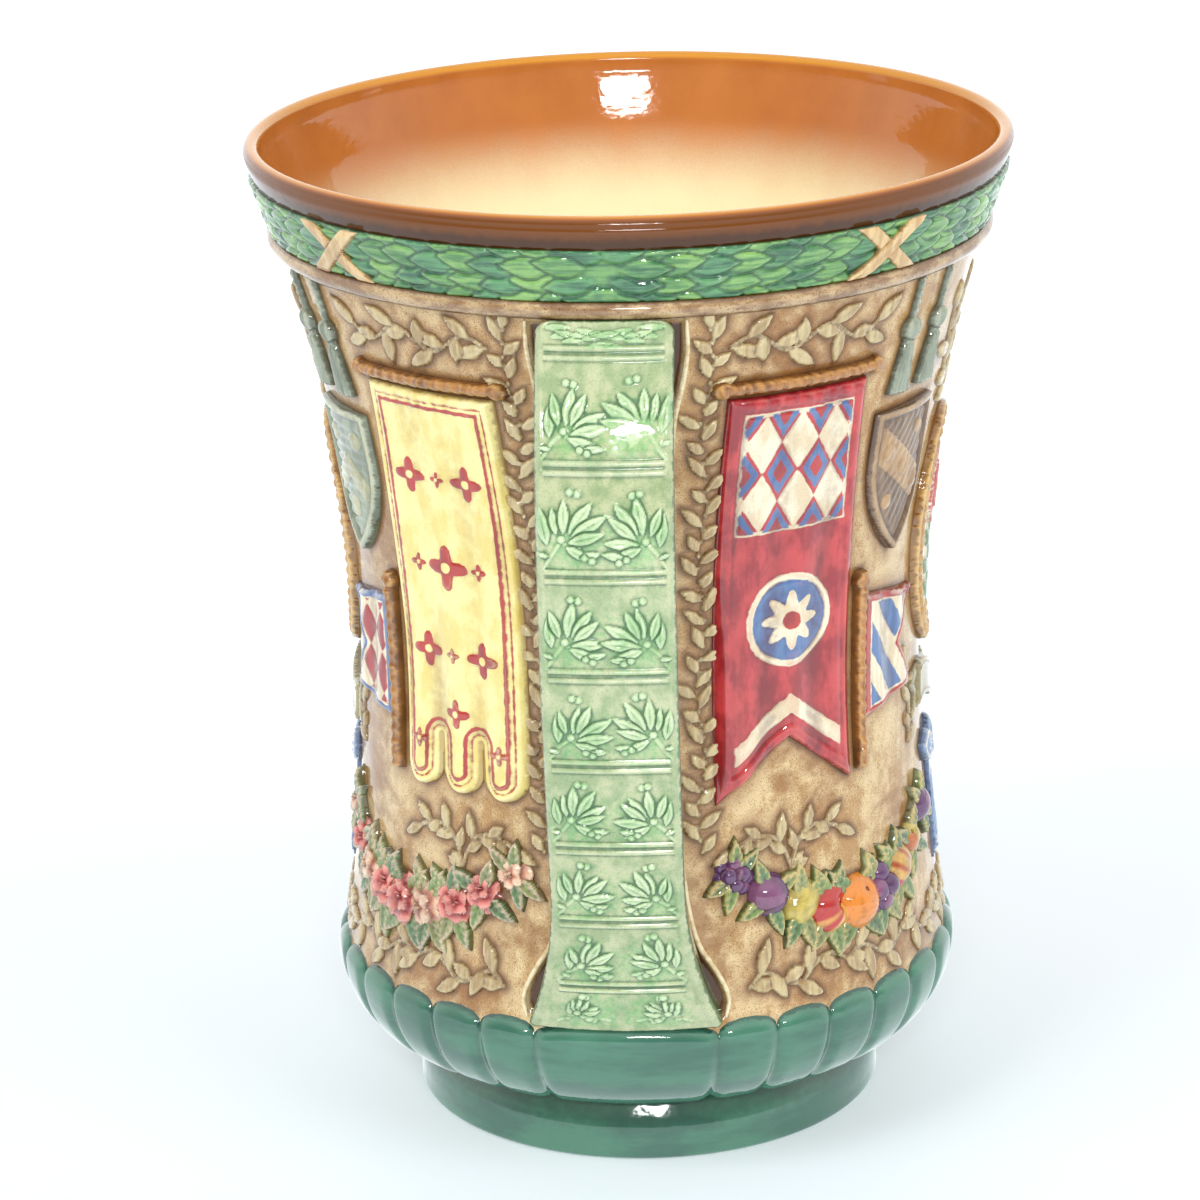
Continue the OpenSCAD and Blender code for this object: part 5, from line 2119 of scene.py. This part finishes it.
@dataclass
class Tassels(Sprig):
    """Two tassels side by side, each with a twisted cord, a knob and a skirt of strands."""

    length: float = 31.0
    width: float = 9.0
    skirt: float = 15.5
    knob: float = 3.2
    cord: float = 1.6
    relief: float = 3.0

    def outside(self, x: Array, y: Array) -> Array:
        """Measure how far points lie outside one tassel.

        Args:
            x: Points across.
            y: Points up.

        Returns:
            Distances.
        """
        top, neck, hem, cord = self.skirt - self.length, self.knob / 2, self.width / 2, self.cord / 2
        strands = polygon([(-neck, top), (-hem, -self.length), (hem, -self.length), (neck, top)])
        strings = polygon([(-cord, top), (cord, top), (cord, 0), (-cord, 0)])
        return union(strands, strings, disc(0, top + neck, self.knob))(x, y)

    def model(self, relief: Relief) -> None:
        """Twist the cord, band the knob and part the skirt into strands.

        Args:
            relief: What is modelled.
        """
        x, y = relief.x, relief.y
        top = self.skirt - self.length
        half = self.knob / 2 + (self.width / 2 - self.knob / 2) * np.clip((top - y) / self.skirt, 0, 1)
        strand = np.abs(np.sin(np.pi * x / half * 2.5)) ** 0.7
        skirt = 0.7 + 1.3 * np.sqrt(np.clip(1 - (x / half) ** 2, 0, 1)) + 0.55 * strand
        skirt -= 0.5 * ridge(y - top + 2.2, 0.6)
        ball = self.knob - np.hypot(x, y - top - self.knob / 2)
        knob = 0.6 + dome(ball, self.relief - 0.5, self.knob) + 0.25 * np.cos(2 * np.pi * x / 2.1)
        cord = 0.5 + dome(relief.depth, 1.2, 0.8) + 0.25 * np.sin(2 * np.pi * (y + x) / 2.4)
        relief.height = np.where(ball > -0.1, np.maximum(knob, 0.6), np.where(y < top, skirt, cord))


@dataclass(frozen=True)
class Skin:
    """The two colours of a fruit or flower, and how tall and wide it is against a ball."""

    kind: str
    first: Colour
    second: Colour
    tall: float = 1.0
    wide: float = 1.0


class Fruit(Enum):
    """What hangs in a festoon."""

    APPLE = Skin("apple", (186, 46, 40), (226, 178, 92), 0.94)
    ORANGE = Skin("orange", (228, 138, 48), (206, 98, 34))
    PEAR = Skin("pear", (204, 184, 92), (196, 112, 58), 1.08, 0.9)
    PLUM = Skin("plum", (98, 58, 104), (134, 82, 118), 1.04)
    GRAPES = Skin("grapes", (98, 58, 104), (134, 82, 118), 1.04)
    ROSE = Skin("rose", (198, 70, 72), (236, 156, 140), 0.96)
    BUD = Skin("bud", (224, 150, 120), (244, 214, 180), 0.96)


@dataclass
class Festoon:
    """Fruit or flowers that hang in a bow between two points on the wall, with leaves behind them."""

    node: str
    finish: Finish
    angle: float
    fruit: list[Fruit]
    span: float = 54.0
    z: float = 84.72
    sag: float = 15.0
    radius: float = 8.0
    end_radius: float = 5.8
    sink: float = 2.2
    steps: int = 44
    across: Triple = (0.3, -0.5, 0.81)
    grape: float = 0.44
    bunch: tuple[Triple, ...] = (
        (-0.55, 0.1, 0.45), (0.0, 0.3, 0.6), (0.52, 0.1, 0.4), (-0.3, 0.5, 0.1), (0.3, 0.52, 0.12), (-0.62, 0.15, -0.1),
        (0.62, 0.15, -0.15), (0.0, 0.45, -0.35), (-0.35, 0.2, -0.6), (0.35, 0.2, -0.58))
    leaves: tuple[Point, ...] = ((118, 1.9), (62, 1.75), (-118, 1.75), (-64, 1.9))
    leaf_width: float = 0.78
    leaf_fan: float = 30.0
    leaf_sway: float = 14.0
    greens: tuple[Colour, ...] = ((122, 148, 84), (98, 132, 84), (142, 150, 92))

    def places(self) -> list[tuple[float, float, float, float]]:
        """List where the fruit hang.

        Returns:
            Places along the bow from -1 to 1, angles from its middle, heights and radii.
        """
        middle = (len(self.fruit) - 1) / 2
        return [(t, t * self.span / 2, self.z - self.sag * (1 - t * t),
                 self.radius + (self.end_radius - self.radius) * abs(t))
                for t in ((i - middle) / middle for i in range(len(self.fruit)))]

    def shapes(self) -> list[tuple[Seat, Field, float]]:
        """List each fruit as a round outline, for the wash and painted shade round it."""
        return [(Seat(start + self.angle + turn, z), disc(0, 0, r), r)
                for start in SIDES.values() for _, turn, z, r in self.places()]

    def ball(self, kind: Fruit, turn: float) -> tuple[Array, Array, Array]:
        """Model one fruit of radius 1 about the origin, its stalk towards its local z.

        Args:
            kind: Which fruit.
            turn: A turn about its stalk, so that no two are alike.

        Returns:
            Points, tints in linear light, and how far each point stands out from its surroundings.
        """
        laps = np.linspace(0, 2 * np.pi, 2 * self.steps, endpoint=False)
        pole, lap = np.meshgrid(np.linspace(0, np.pi, self.steps), laps, indexing="ij")
        spin, girth, crest = lap + turn, np.sin(pole), np.zeros(pole.shape)
        if kind is Fruit.APPLE:
            size = 1 - 0.32 * ridge(pole, 0.34) - 0.14 * ridge(pole - np.pi, 0.3) + 0.03 * np.cos(5 * spin) * girth
            mix = smooth(0.5 + 0.5 * np.sin(spin) + 0.3 * np.sin(9 * spin) * girth, 0.55, 1.0)
        elif kind is Fruit.ORANGE:
            size = 1 + 0.012 * np.sin(23 * pole) * np.sin(29 * spin) - 0.12 * ridge(pole, 0.2)
            mix = smooth(pole, 1.2, 2.8)
        elif kind is Fruit.PEAR:
            size = 0.86 + 0.3 * smooth(pole, 0.9, 2.2) - 0.12 * ridge(pole, 0.25)
            mix = smooth(np.sin(spin), 0.2, 1.0)
        elif kind is Fruit.PLUM:
            crease = ridge(((spin + np.pi) % (2 * np.pi)) - np.pi, 0.22) * girth
            size, crest = 1 - 0.13 * crease, -0.4 * crease
            mix = smooth(np.cos(spin - 1), 0.2, 1.0)
        else:
            layers = 4.0 if kind is Fruit.ROSE else 3.0
            along = pole / (0.62 * np.pi) * layers + 0.12 * np.sin(spin)
            ring = np.floor(along)
            along = along - 0.3 * np.abs(np.sin(2.5 * spin + 1.9 * ring)) ** 3
            lip = np.clip(along - np.floor(along), 0, 1)
            shell = np.where(pole < 0.62 * np.pi, lip ** 1.6, 0.3)
            size = 0.80 + 0.24 * shell - 0.1 * ridge(pole, 0.2)
            crest = 0.7 * (shell - 0.45)
            mix = smooth(lip, 0.2, 0.95)
        skin = kind.value
        first, second = (np.array(linear(colour)[:3]) for colour in (skin.first, skin.second))
        tint = first * (1 - mix[..., None]) + second * mix[..., None]
        reach = skin.wide * size * girth
        points = np.stack([reach * np.cos(lap), reach * np.sin(lap), skin.tall * size * np.cos(pole)], -1)
        return points, tint, crest

    def add_ball(self, sculpt: Sculpt, form: CupForm, seat: Seat, kind: Fruit, radius: float, lean: Array,
                 shift: Triple, turn: float) -> None:
        """Set one fruit on the wall.

        Args:
            sculpt: What it is added to.
            form: The cup's form.
            seat: Its place on the wall.
            kind: Which fruit.
            radius: Its radius.
            lean: Direction of its stalk as right, out and up.
            shift: How far it lies right, out and up from the seat.
            turn: A turn about its stalk.
        """
        local, tint, crest = self.ball(kind, turn)
        axis = unit(lean)
        side = unit(np.cross(self.across, axis))
        leaning = local @ np.array([side, np.cross(axis, side), axis]) * radius
        ground = float(form.radius(seat.z)) - self.sink
        right, out, up = (leaning[..., k] + shift[k] for k in range(3))
        points = swung(seat.angle, right, out + ground, up + seat.z)
        index = np.arange(crest.size).reshape(crest.shape)
        index[0], index[-1] = index[0, 0], index[-1, 0]
        ahead = np.roll(index, -1, axis=1)
        quads = woven(index[1:-1], ahead[1:-1])[:, ::-1]
        caps = [np.stack(corners, -1)[:, ::-1]
                for corners in ((index[0], index[1], ahead[1]), (index[-1], ahead[-2], index[-2]))]
        away, wall = np.hypot(points[..., 0], points[..., 1]), form.radius(points[..., 2])
        depth = away - wall
        points[..., :2] *= (np.maximum(away, wall - form.wall / 2) / away)[..., None]
        sculpt.add(points.reshape(-1, 3), [quads, *caps], {
            "flat": points.reshape(-1, 3), "tint": tint.reshape(-1, 3), "crest": crest.reshape(-1),
            "depth": 0.8 * depth.reshape(-1)})

    def add_leaf(self, sculpt: Sculpt, form: CupForm, seat: Seat, leaf: Leaf, shade: Colour) -> None:
        """Set one leaf flat on the wall.

        Args:
            sculpt: What it is added to.
            form: The cup's form.
            seat: Its place on the wall.
            leaf: The leaf, with its base on the seat.
            shade: Its colour.
        """
        reach = leaf.length + 1
        relief = Relief(lambda x, y: -leaf.depth(x, y), (-reach, -reach), (reach, reach), 0.5)
        u, v = leaf.axes(relief.x, relief.y)
        veins = 0.14 * np.cos(2 * np.pi * (u * leaf.length - 0.9 * np.abs(v)) / 2.2) * smooth(relief.depth, 0.2, 1.0)
        relief.height = 0.35 + leaf.height(relief.x, relief.y, 1.5, 0.9) + veins
        before = sculpt.count
        relief.lute(sculpt, form, seat)
        sculpt.paint[-1]["tint"] = np.tile(np.array(linear(shade)[:3]), (sculpt.count - before, 1))

    def build(self, form: CupForm) -> None:
        """Hang the festoon on both sides.

        Args:
            form: The cup's form.
        """
        for side, start in SIDES.items():
            sculpt = Sculpt()
            for k, ((t, turn, z, radius), kind) in enumerate(zip(self.places(), self.fruit)):
                seat = Seat(start + self.angle + turn, z)
                for j, (base, length) in enumerate(self.leaves):
                    angle = base + self.leaf_fan * t + self.leaf_sway * math.sin(2.1 * k + 1.7 * j)
                    leaf = Leaf(0, 0, angle, length * radius, self.leaf_width * radius)
                    self.add_leaf(sculpt, form, seat, leaf, self.greens[(k + j) % len(self.greens)])
                lean = np.array([math.sin(2.3 * k) * 0.8, 0.9, math.cos(1.7 * k) * 0.8])
                if kind in (Fruit.ROSE, Fruit.BUD):
                    lean = np.array([0.35 * math.sin(2.3 * k), 1.0, 0.3 + 0.25 * math.cos(1.9 * k)])
                if kind is Fruit.GRAPES:
                    for gx, gy, gz in self.bunch:
                        self.add_ball(sculpt, form, seat, Fruit.PLUM, self.grape * radius, lean,
                                      (gx * radius, gy * radius, gz * radius), 3.1 * gx + 5 * gz)
                else:
                    self.add_ball(sculpt, form, seat, kind, radius, lean, (0.0, 0.0, 0.0), 1.3 * k)
            lute(sculpt.piece(f"{self.node}_{side}_garland"), f"{self.node}_{side}", self.finish)


@dataclass(frozen=True)
class Branch:
    """A stem with its leaves, flat on the wall at an angle and a height."""

    angle: float
    z: float
    leaves: list[Leaf]
    stem: list[Point]
    stem_radius: float = 0.7

    def mirrored(self) -> "Branch":
        """Make its mirror image towards the other handle."""
        leaves = [Leaf(-v.x, v.y, 180 - v.turn, v.length, v.width) for v in self.leaves]
        return Branch(180 - self.angle, self.z, leaves, [(-x, y) for x, y in self.stem])

    def outside(self, x: Array, y: Array) -> Array:
        """Measure how far points lie outside the stem and its leaves."""
        stem = [np.hypot(x - px, y - py) - self.stem_radius for px, py in self.stem]
        return np.minimum.reduce([*stem, *[-leaf.depth(x, y) for leaf in self.leaves]])


@dataclass
class Leafwork:
    """Low leaves and stems that fill the ground between the ornaments."""

    pitch: float = 0.6
    margin: float = 1.0
    steps: int = 40
    leaf_pitch: float = 0.42
    leaf_width: float = 0.42
    leaf_spread: float = 44.0
    leaf_sway: float = 14.0
    branches: list[Branch] = field(default_factory=list)

    def run(self, angle: float, z: float, ends: Sequence[Point], wave: float, waves: float, leaf: float) -> None:
        """Lay out a waving stem with leaves on both sides of it.

        Args:
            angle: Angle of the group's frame on the wall.
            z: Its height.
            ends: Where the stem starts, what it bends towards and where it ends, in that frame.
            wave: How far it waves to each side.
            waves: How many times it waves.
            leaf: Length of a leaf.
        """
        first, bend, last = (np.array(p) for p in ends)

        def point(t: float) -> Array:
            """Find a point along the stem.

            Args:
                t: Share of the stem's length.

            Returns:
                The point.
            """
            ahead = (1 - t) * (bend - first) + t * (last - bend)
            off = wave * math.sin(2 * math.pi * waves * t) / np.hypot(*ahead)
            return (1 - t) ** 2 * first + 2 * t * (1 - t) * bend + t * t * last + off * np.array([-ahead[1], ahead[0]])

        stem = [point(i / self.steps) for i in range(self.steps + 1)]
        length = sum(math.dist(a, b) for a, b in zip(stem, stem[1:]))
        count = max(2, round(length / (self.leaf_pitch * leaf)))
        leaves = []
        for k in range(count + 1):
            here, ahead = point(k / count), point((k + 0.2) / count)
            bearing = math.degrees(math.atan2(*(ahead - here)[::-1]))
            side = 0 if k == count else 1 if k % 2 else -1
            turn = bearing + side * (self.leaf_spread + self.leaf_sway * math.sin(2.3 * k + angle))
            size = leaf * (0.9 + 0.18 * math.sin(1.7 * k + z))
            leaves.append(Leaf(*here, turn, size, self.leaf_width * leaf))
        self.branches.append(Branch(angle, z, leaves, [tuple(p) for p in stem]))

    def build(self, form: CupForm, wall: CupWall) -> None:
        """Lute the leaves to both sides of the cup.

        Args:
            form: The cup's form.
            wall: The wall, which takes a wash of colour and painted shade round them.
        """
        sculpts = {side: Sculpt() for side in SIDES}
        mirrored = [branch.mirrored() for branch in self.branches if branch.angle != 90.0]
        for branch in [*self.branches, *mirrored]:
            tips = [np.array((v.x, v.y)) + v.length * np.array(heading(v.turn)) for v in branch.leaves]
            corners = np.array([*tips, *branch.stem])
            low, high = corners.min(0) - self.margin, corners.max(0) + self.margin
            relief = Relief(branch.outside, tuple(low), tuple(high), self.pitch)
            bed = LeafBed(relief.x, relief.y, 0.12)
            bed.stem(np.s_[:], branch.stem, 0.6, 0.7)
            for leaf in branch.leaves:
                bed.lay(np.s_[:], leaf, 0.85, 0.25, 0.45)
            relief.height = bed.height
            for side, start in SIDES.items():
                seat = Seat(start + branch.angle, branch.z)
                relief.lute(sculpts[side], form, seat)
                wall.shapes.append((seat, branch.outside, float(np.abs(corners).max())))
        for side, sculpt in sculpts.items():
            lute(sculpt.piece(f"ground_leaves_{side}"), "", Finish.LEAFWORK)


def leafwork() -> Leafwork:
    """Lay out the leaves of one side, from the front handle to the middle.

    Returns:
        The leaves.
    """
    leaves = Leafwork()
    leaves.run(15.4, 150.0, ((0, -58), (1, 10), (1.5, 84)), 1.0, 4.0, 8.0)
    leaves.run(33.5, 228.0, ((-21, 0.5), (0, 0.5), (21, 0.5)), 2.6, 2.0, 10.0)
    leaves.run(60.0, 55.5, ((-21, 0), (0, 0), (20, 0)), 2.6, 2.0, 10.0)
    leaves.run(32.0, 56.5, ((-12, -2), (0, 0), (17, 0)), 2.6, 1.5, 10.0)
    leaves.run(90.0, 54.5, ((-18, 0), (0, 0), (18, 0)), 2.4, 2.0, 9.0)
    for way in (-1, 1):
        leaves.run(33.5, 86.0, ((0, -2), (way * 3, 13), (way * 15, 6)), 0.0, 1.0, 8.0)
        leaves.run(90.0, 195.0, ((way, 0), (way * 16, 4), (way * 20, 26)), 0.0, 1.0, 11.0)
    leaves.run(90.0, 200.0, ((0, 0), (0, 10), (0, 20)), 0.0, 1.0, 10.0)
    leaves.run(72.5, 104.0, ((0, 0), (3, 10), (0, 20)), 0.0, 1.0, 8.0)
    return leaves


def ornaments() -> list[Sprig | Festoon]:
    """List the ornaments of one side; the other side repeats them half a turn on.

    Returns:
        The ornaments, in the order in which they are made.
    """
    banner, shield, staff, pennant, medallion, swag = 33.5, 61.0, 51.9, 53.36, 90.0, 48.5
    tassels = {"z": 237.7, "low": (-4.5, -31), "high": (4.5, 0), "offsets": (-4.39, 4.39), "pitch": 0.36}
    bar = {"z": 217.0, "low": (-25, -2.5), "high": (25, 2.5), "pitch": 0.36}
    rod = {"z": 159.5, "low": (-2.6, -54), "high": (2.6, 0), "pitch": 0.36,
           "length": 54.0, "rod": 3.2, "ball": 5.2, "upright": True}
    cloth = {"z": 214.2, "low": (-20, -110), "high": (20, 0)}
    plate = {"z": 202.0, "low": (-13.5, -40), "high": (13.5, 0), "pitch": 0.45}
    autumn, roses = ([Fruit[name.upper()] for name in names.split()] for names in (
        "grapes plum pear apple orange grapes apple pear plum", "bud rose bud rose rose bud rose rose bud"))
    return [
        SwallowtailBanner("crimson_banner", Finish.CRIMSON, banner, **cloth),
        TurnedRod("crimson_crossbar", Finish.GILT, banner, **bar),
        TonguedBanner("yellow_banner", Finish.YELLOW, 180 - banner, **cloth),
        TurnedRod("yellow_crossbar", Finish.GILT, 180 - banner, **bar),
        Shield("brown_shield", Finish.BROWN_SHIELD, shield, **plate),
        Shield("green_shield", Finish.GREEN_SHIELD, 180 - shield, **plate, charge=Charge.CHEVRON),
        Pennant("striped_pennant", Finish.BLUE_CREAM, pennant, 152.5, (0, -34), (25, 0), pitch=0.45),
        TurnedRod("striped_staff", Finish.GILT, staff, **rod),
        Pennant("chequered_pennant", Finish.RED_CREAM, 180 - pennant, 152.5, (-25, -34), (0, 0), pitch=0.45,
                pattern=Pattern.LOZENGES),
        TurnedRod("chequered_staff", Finish.GILT, 180 - staff, **rod),
        Medallion("medallion", Finish.MEDALLION, medallion, 158.36, (-16.5, -28), (16.5, 28), pitch=0.42),
        BeadedFrame("medallion_frame", Finish.OCHRE, medallion, 158.36, (-21.5, -33), (21.5, 33), pitch=0.4),
        Scroll("ribbon_scroll", Finish.OLIVE, medallion, 114.36, (-22, -8.5), (22, 8.5), pitch=0.42),
        Bow("ribbon_bow", Finish.BOW, medallion, 94.36, (-14.5, -30), (14.5, 9), pitch=0.42),
        Festoon("autumn_festoon", Finish.FRUIT, swag, autumn),
        Festoon("rose_festoon", Finish.ROSES, 180 - swag, roses),
        Tassels("autumn_tassels", Finish.TASSEL, shield, **tassels),
        Tassels("rose_tassels", Finish.TASSEL, 180 - shield, **tassels)]


# The studio

@dataclass(frozen=True)
class Studio:
    """A white sweep, soft lights and the camera that was fitted to the photograph."""

    lens: float = 135.0
    camera_place: Triple = (0.0, -1147.4, 518.2)
    yaw: float = -0.519
    pitch: float = 18.433
    roll: float = -1.485
    orbit: float = 4.2
    floor_size: float = 6000.0
    level: float = 0.5
    dark: float = 0.55
    bright: float = 1.7
    paper: Colour = (216, 226, 232)
    glow_front: Colour = (38, 43, 47)
    glow_back: Colour = (170, 170, 170)
    glow_mirrored: Colour = (200, 204, 208)
    glow: float = 1.5
    lights: tuple[tuple[str, Triple, Triple, Point, float, bool], ...] = (
        ("key", (-900, -1000, 1400), (0, 0, 120), (900, 900), 13, False),
        ("fill", (1100, -800, 900), (0, 0, 120), (900, 900), 8, False),
        ("lamp", (95, -1150, 590), (0, 0, 130), (340, 80), 5, True))

    def build_camera(self) -> None:
        """Set the camera where the photograph was taken."""
        data = bpy.data.cameras.new("camera")
        data.lens, data.sensor_width, data.clip_end = self.lens, 36.0, 50.0
        camera = bpy.data.objects.new("camera", data)
        bpy.context.scene.collection.objects.link(camera)
        turn = (Matrix.Rotation(math.radians(self.orbit), 4, "Z")
                @ Matrix.Translation([v * MM for v in self.camera_place])
                @ Matrix.Rotation(math.radians(-self.yaw), 4, "Z")
                @ Matrix.Rotation(math.radians(90 - self.pitch), 4, "X")
                @ Matrix.Rotation(math.radians(self.roll), 4, "Z"))
        camera.matrix_world = turn
        bpy.context.scene.camera = camera

    def build_light(self, name: str, place: Triple, aim: Triple, size: Point, watts: float, mirrored: bool) -> None:
        """Hang one soft light.

        Args:
            name: The light's name.
            place: Where it hangs, in millimetres.
            aim: What it points at.
            size: Its width and height.
            watts: Its power.
            mirrored: Whether the glaze mirrors it.
        """
        data = bpy.data.lights.new(name, "AREA")
        data.shape, data.energy = "ELLIPSE", watts
        data.size, data.size_y = size[0] * MM, size[1] * MM
        light = bpy.data.objects.new(name, data)
        light.visible_glossy = mirrored
        bpy.context.scene.collection.objects.link(light)
        start, end = Vector(place) * MM, Vector(aim) * MM
        light.matrix_world = Matrix.Translation(start) @ (end - start).to_track_quat("-Z", "Y").to_matrix().to_4x4()

    def build_world(self) -> None:
        """Surround the cup with even light that is white to the camera."""
        world = bpy.data.worlds.new("surroundings")
        bpy.context.scene.world = world
        world.use_nodes = True
        nodes = Nodes(world.node_tree)
        glossy, seen = (nodes.signal("ShaderNodeLightPath", {}, {}, f"Is {kind} Ray") for kind in ("Glossy", "Camera"))
        way = nodes.signal("ShaderNodeTexCoord", {}, {}, "Generated")
        depth, up = (nodes.signal("ShaderNodeSeparateXYZ", {}, {0: way}, axis) for axis in (1, 2))
        tent = nodes.step(up, 0.3, 0.75).larger(nodes.step(depth, -0.75, 0.1))
        mirrored = tent * (self.bright - self.dark) + (self.dark - self.level)
        level = mirrored * glossy + self.level + seen * (1.0 - self.level)
        ground = nodes.tree.nodes["Background"]
        ground.inputs[0].default_value = (1.0, 1.0, 1.0, 1.0)
        nodes.tree.links.new(level.socket, ground.inputs[1])

    def build(self) -> None:
        """Set up the floor, the lights and the camera."""
        half = self.floor_size / 2 * MM
        mesh = bpy.data.meshes.new("floor")
        mesh.from_pydata([(-half, -half, 0), (half, -half, 0), (half, half, 0), (-half, half, 0)], [], [(0, 1, 2, 3)])
        floor = bpy.data.objects.new("floor", mesh)
        bpy.context.scene.collection.objects.link(floor)
        shader = Shader("floor_paper")
        shader.surface.inputs["Base Color"].default_value = linear(self.paper)
        shader.surface.inputs["Roughness"].default_value = 0.6
        place = shader.signal("ShaderNodeNewGeometry", {}, {}, "Position")
        behind = shader.step(shader.signal("ShaderNodeSeparateXYZ", {}, {0: place}, 1), -0.45, 0.6, "LINEAR")
        glow = shader.mix(behind, self.glow_front, self.glow_back)
        glow = shader.mix(shader.signal("ShaderNodeLightPath", {}, {}, "Is Glossy Ray"), glow, self.glow_mirrored)
        shader.tree.links.new(glow.socket, shader.surface.inputs["Emission Color"])
        shader.surface.inputs["Emission Strength"].default_value = self.glow
        floor.data.materials.append(shader.material)
        self.build_world()
        for light in self.lights:
            self.build_light(*light)
        self.build_camera()
        bpy.context.scene.view_settings.view_transform = "Standard"


def main() -> None:
    """Build every piece of the cup, dress it and set up the studio."""
    logging.basicConfig(level=logging.INFO, format="%(message)s")
    form = CupForm(height=265.0, rim_radius=100.0)
    wall, bands, base, strap = CupWall(form), LipBands(form), LobedBase(form), StrapHandle(form)
    for ornament in ornaments():
        wall.shapes += ornament.shapes()
        ornament.build(form)
    leafwork().build(form, wall)
    lute(wall.build(), "cup_body", Finish.WALL)
    lute(bands.build_laurel(), "laurel_band", Finish.LAUREL)
    for number in range(1, len(bands.tie_angles) + 1):
        lute(bands.build_tie(number), f"ribbon_tie_{number}", Finish.RIBBON)
    lute(bands.build_cornice(), "cornice_moulding", Finish.CORNICE)
    lute(base.build_lobes(), "lobed_band", Finish.SEA_GREEN)
    lute(base.build_foot(), "foot_ring", Finish.SEA_GREEN)
    for side, angle in (("front", 0.0), ("back", 180.0)):
        lute(strap.build(angle, f"strap_{side}"), f"handle_{side}", Finish.STRAP)
        lute(wall.build_edge(angle, f"hollow_edge_{side}"), "", Finish.EDGE)
    Studio().build()


if __name__ == "__main__":
    main()
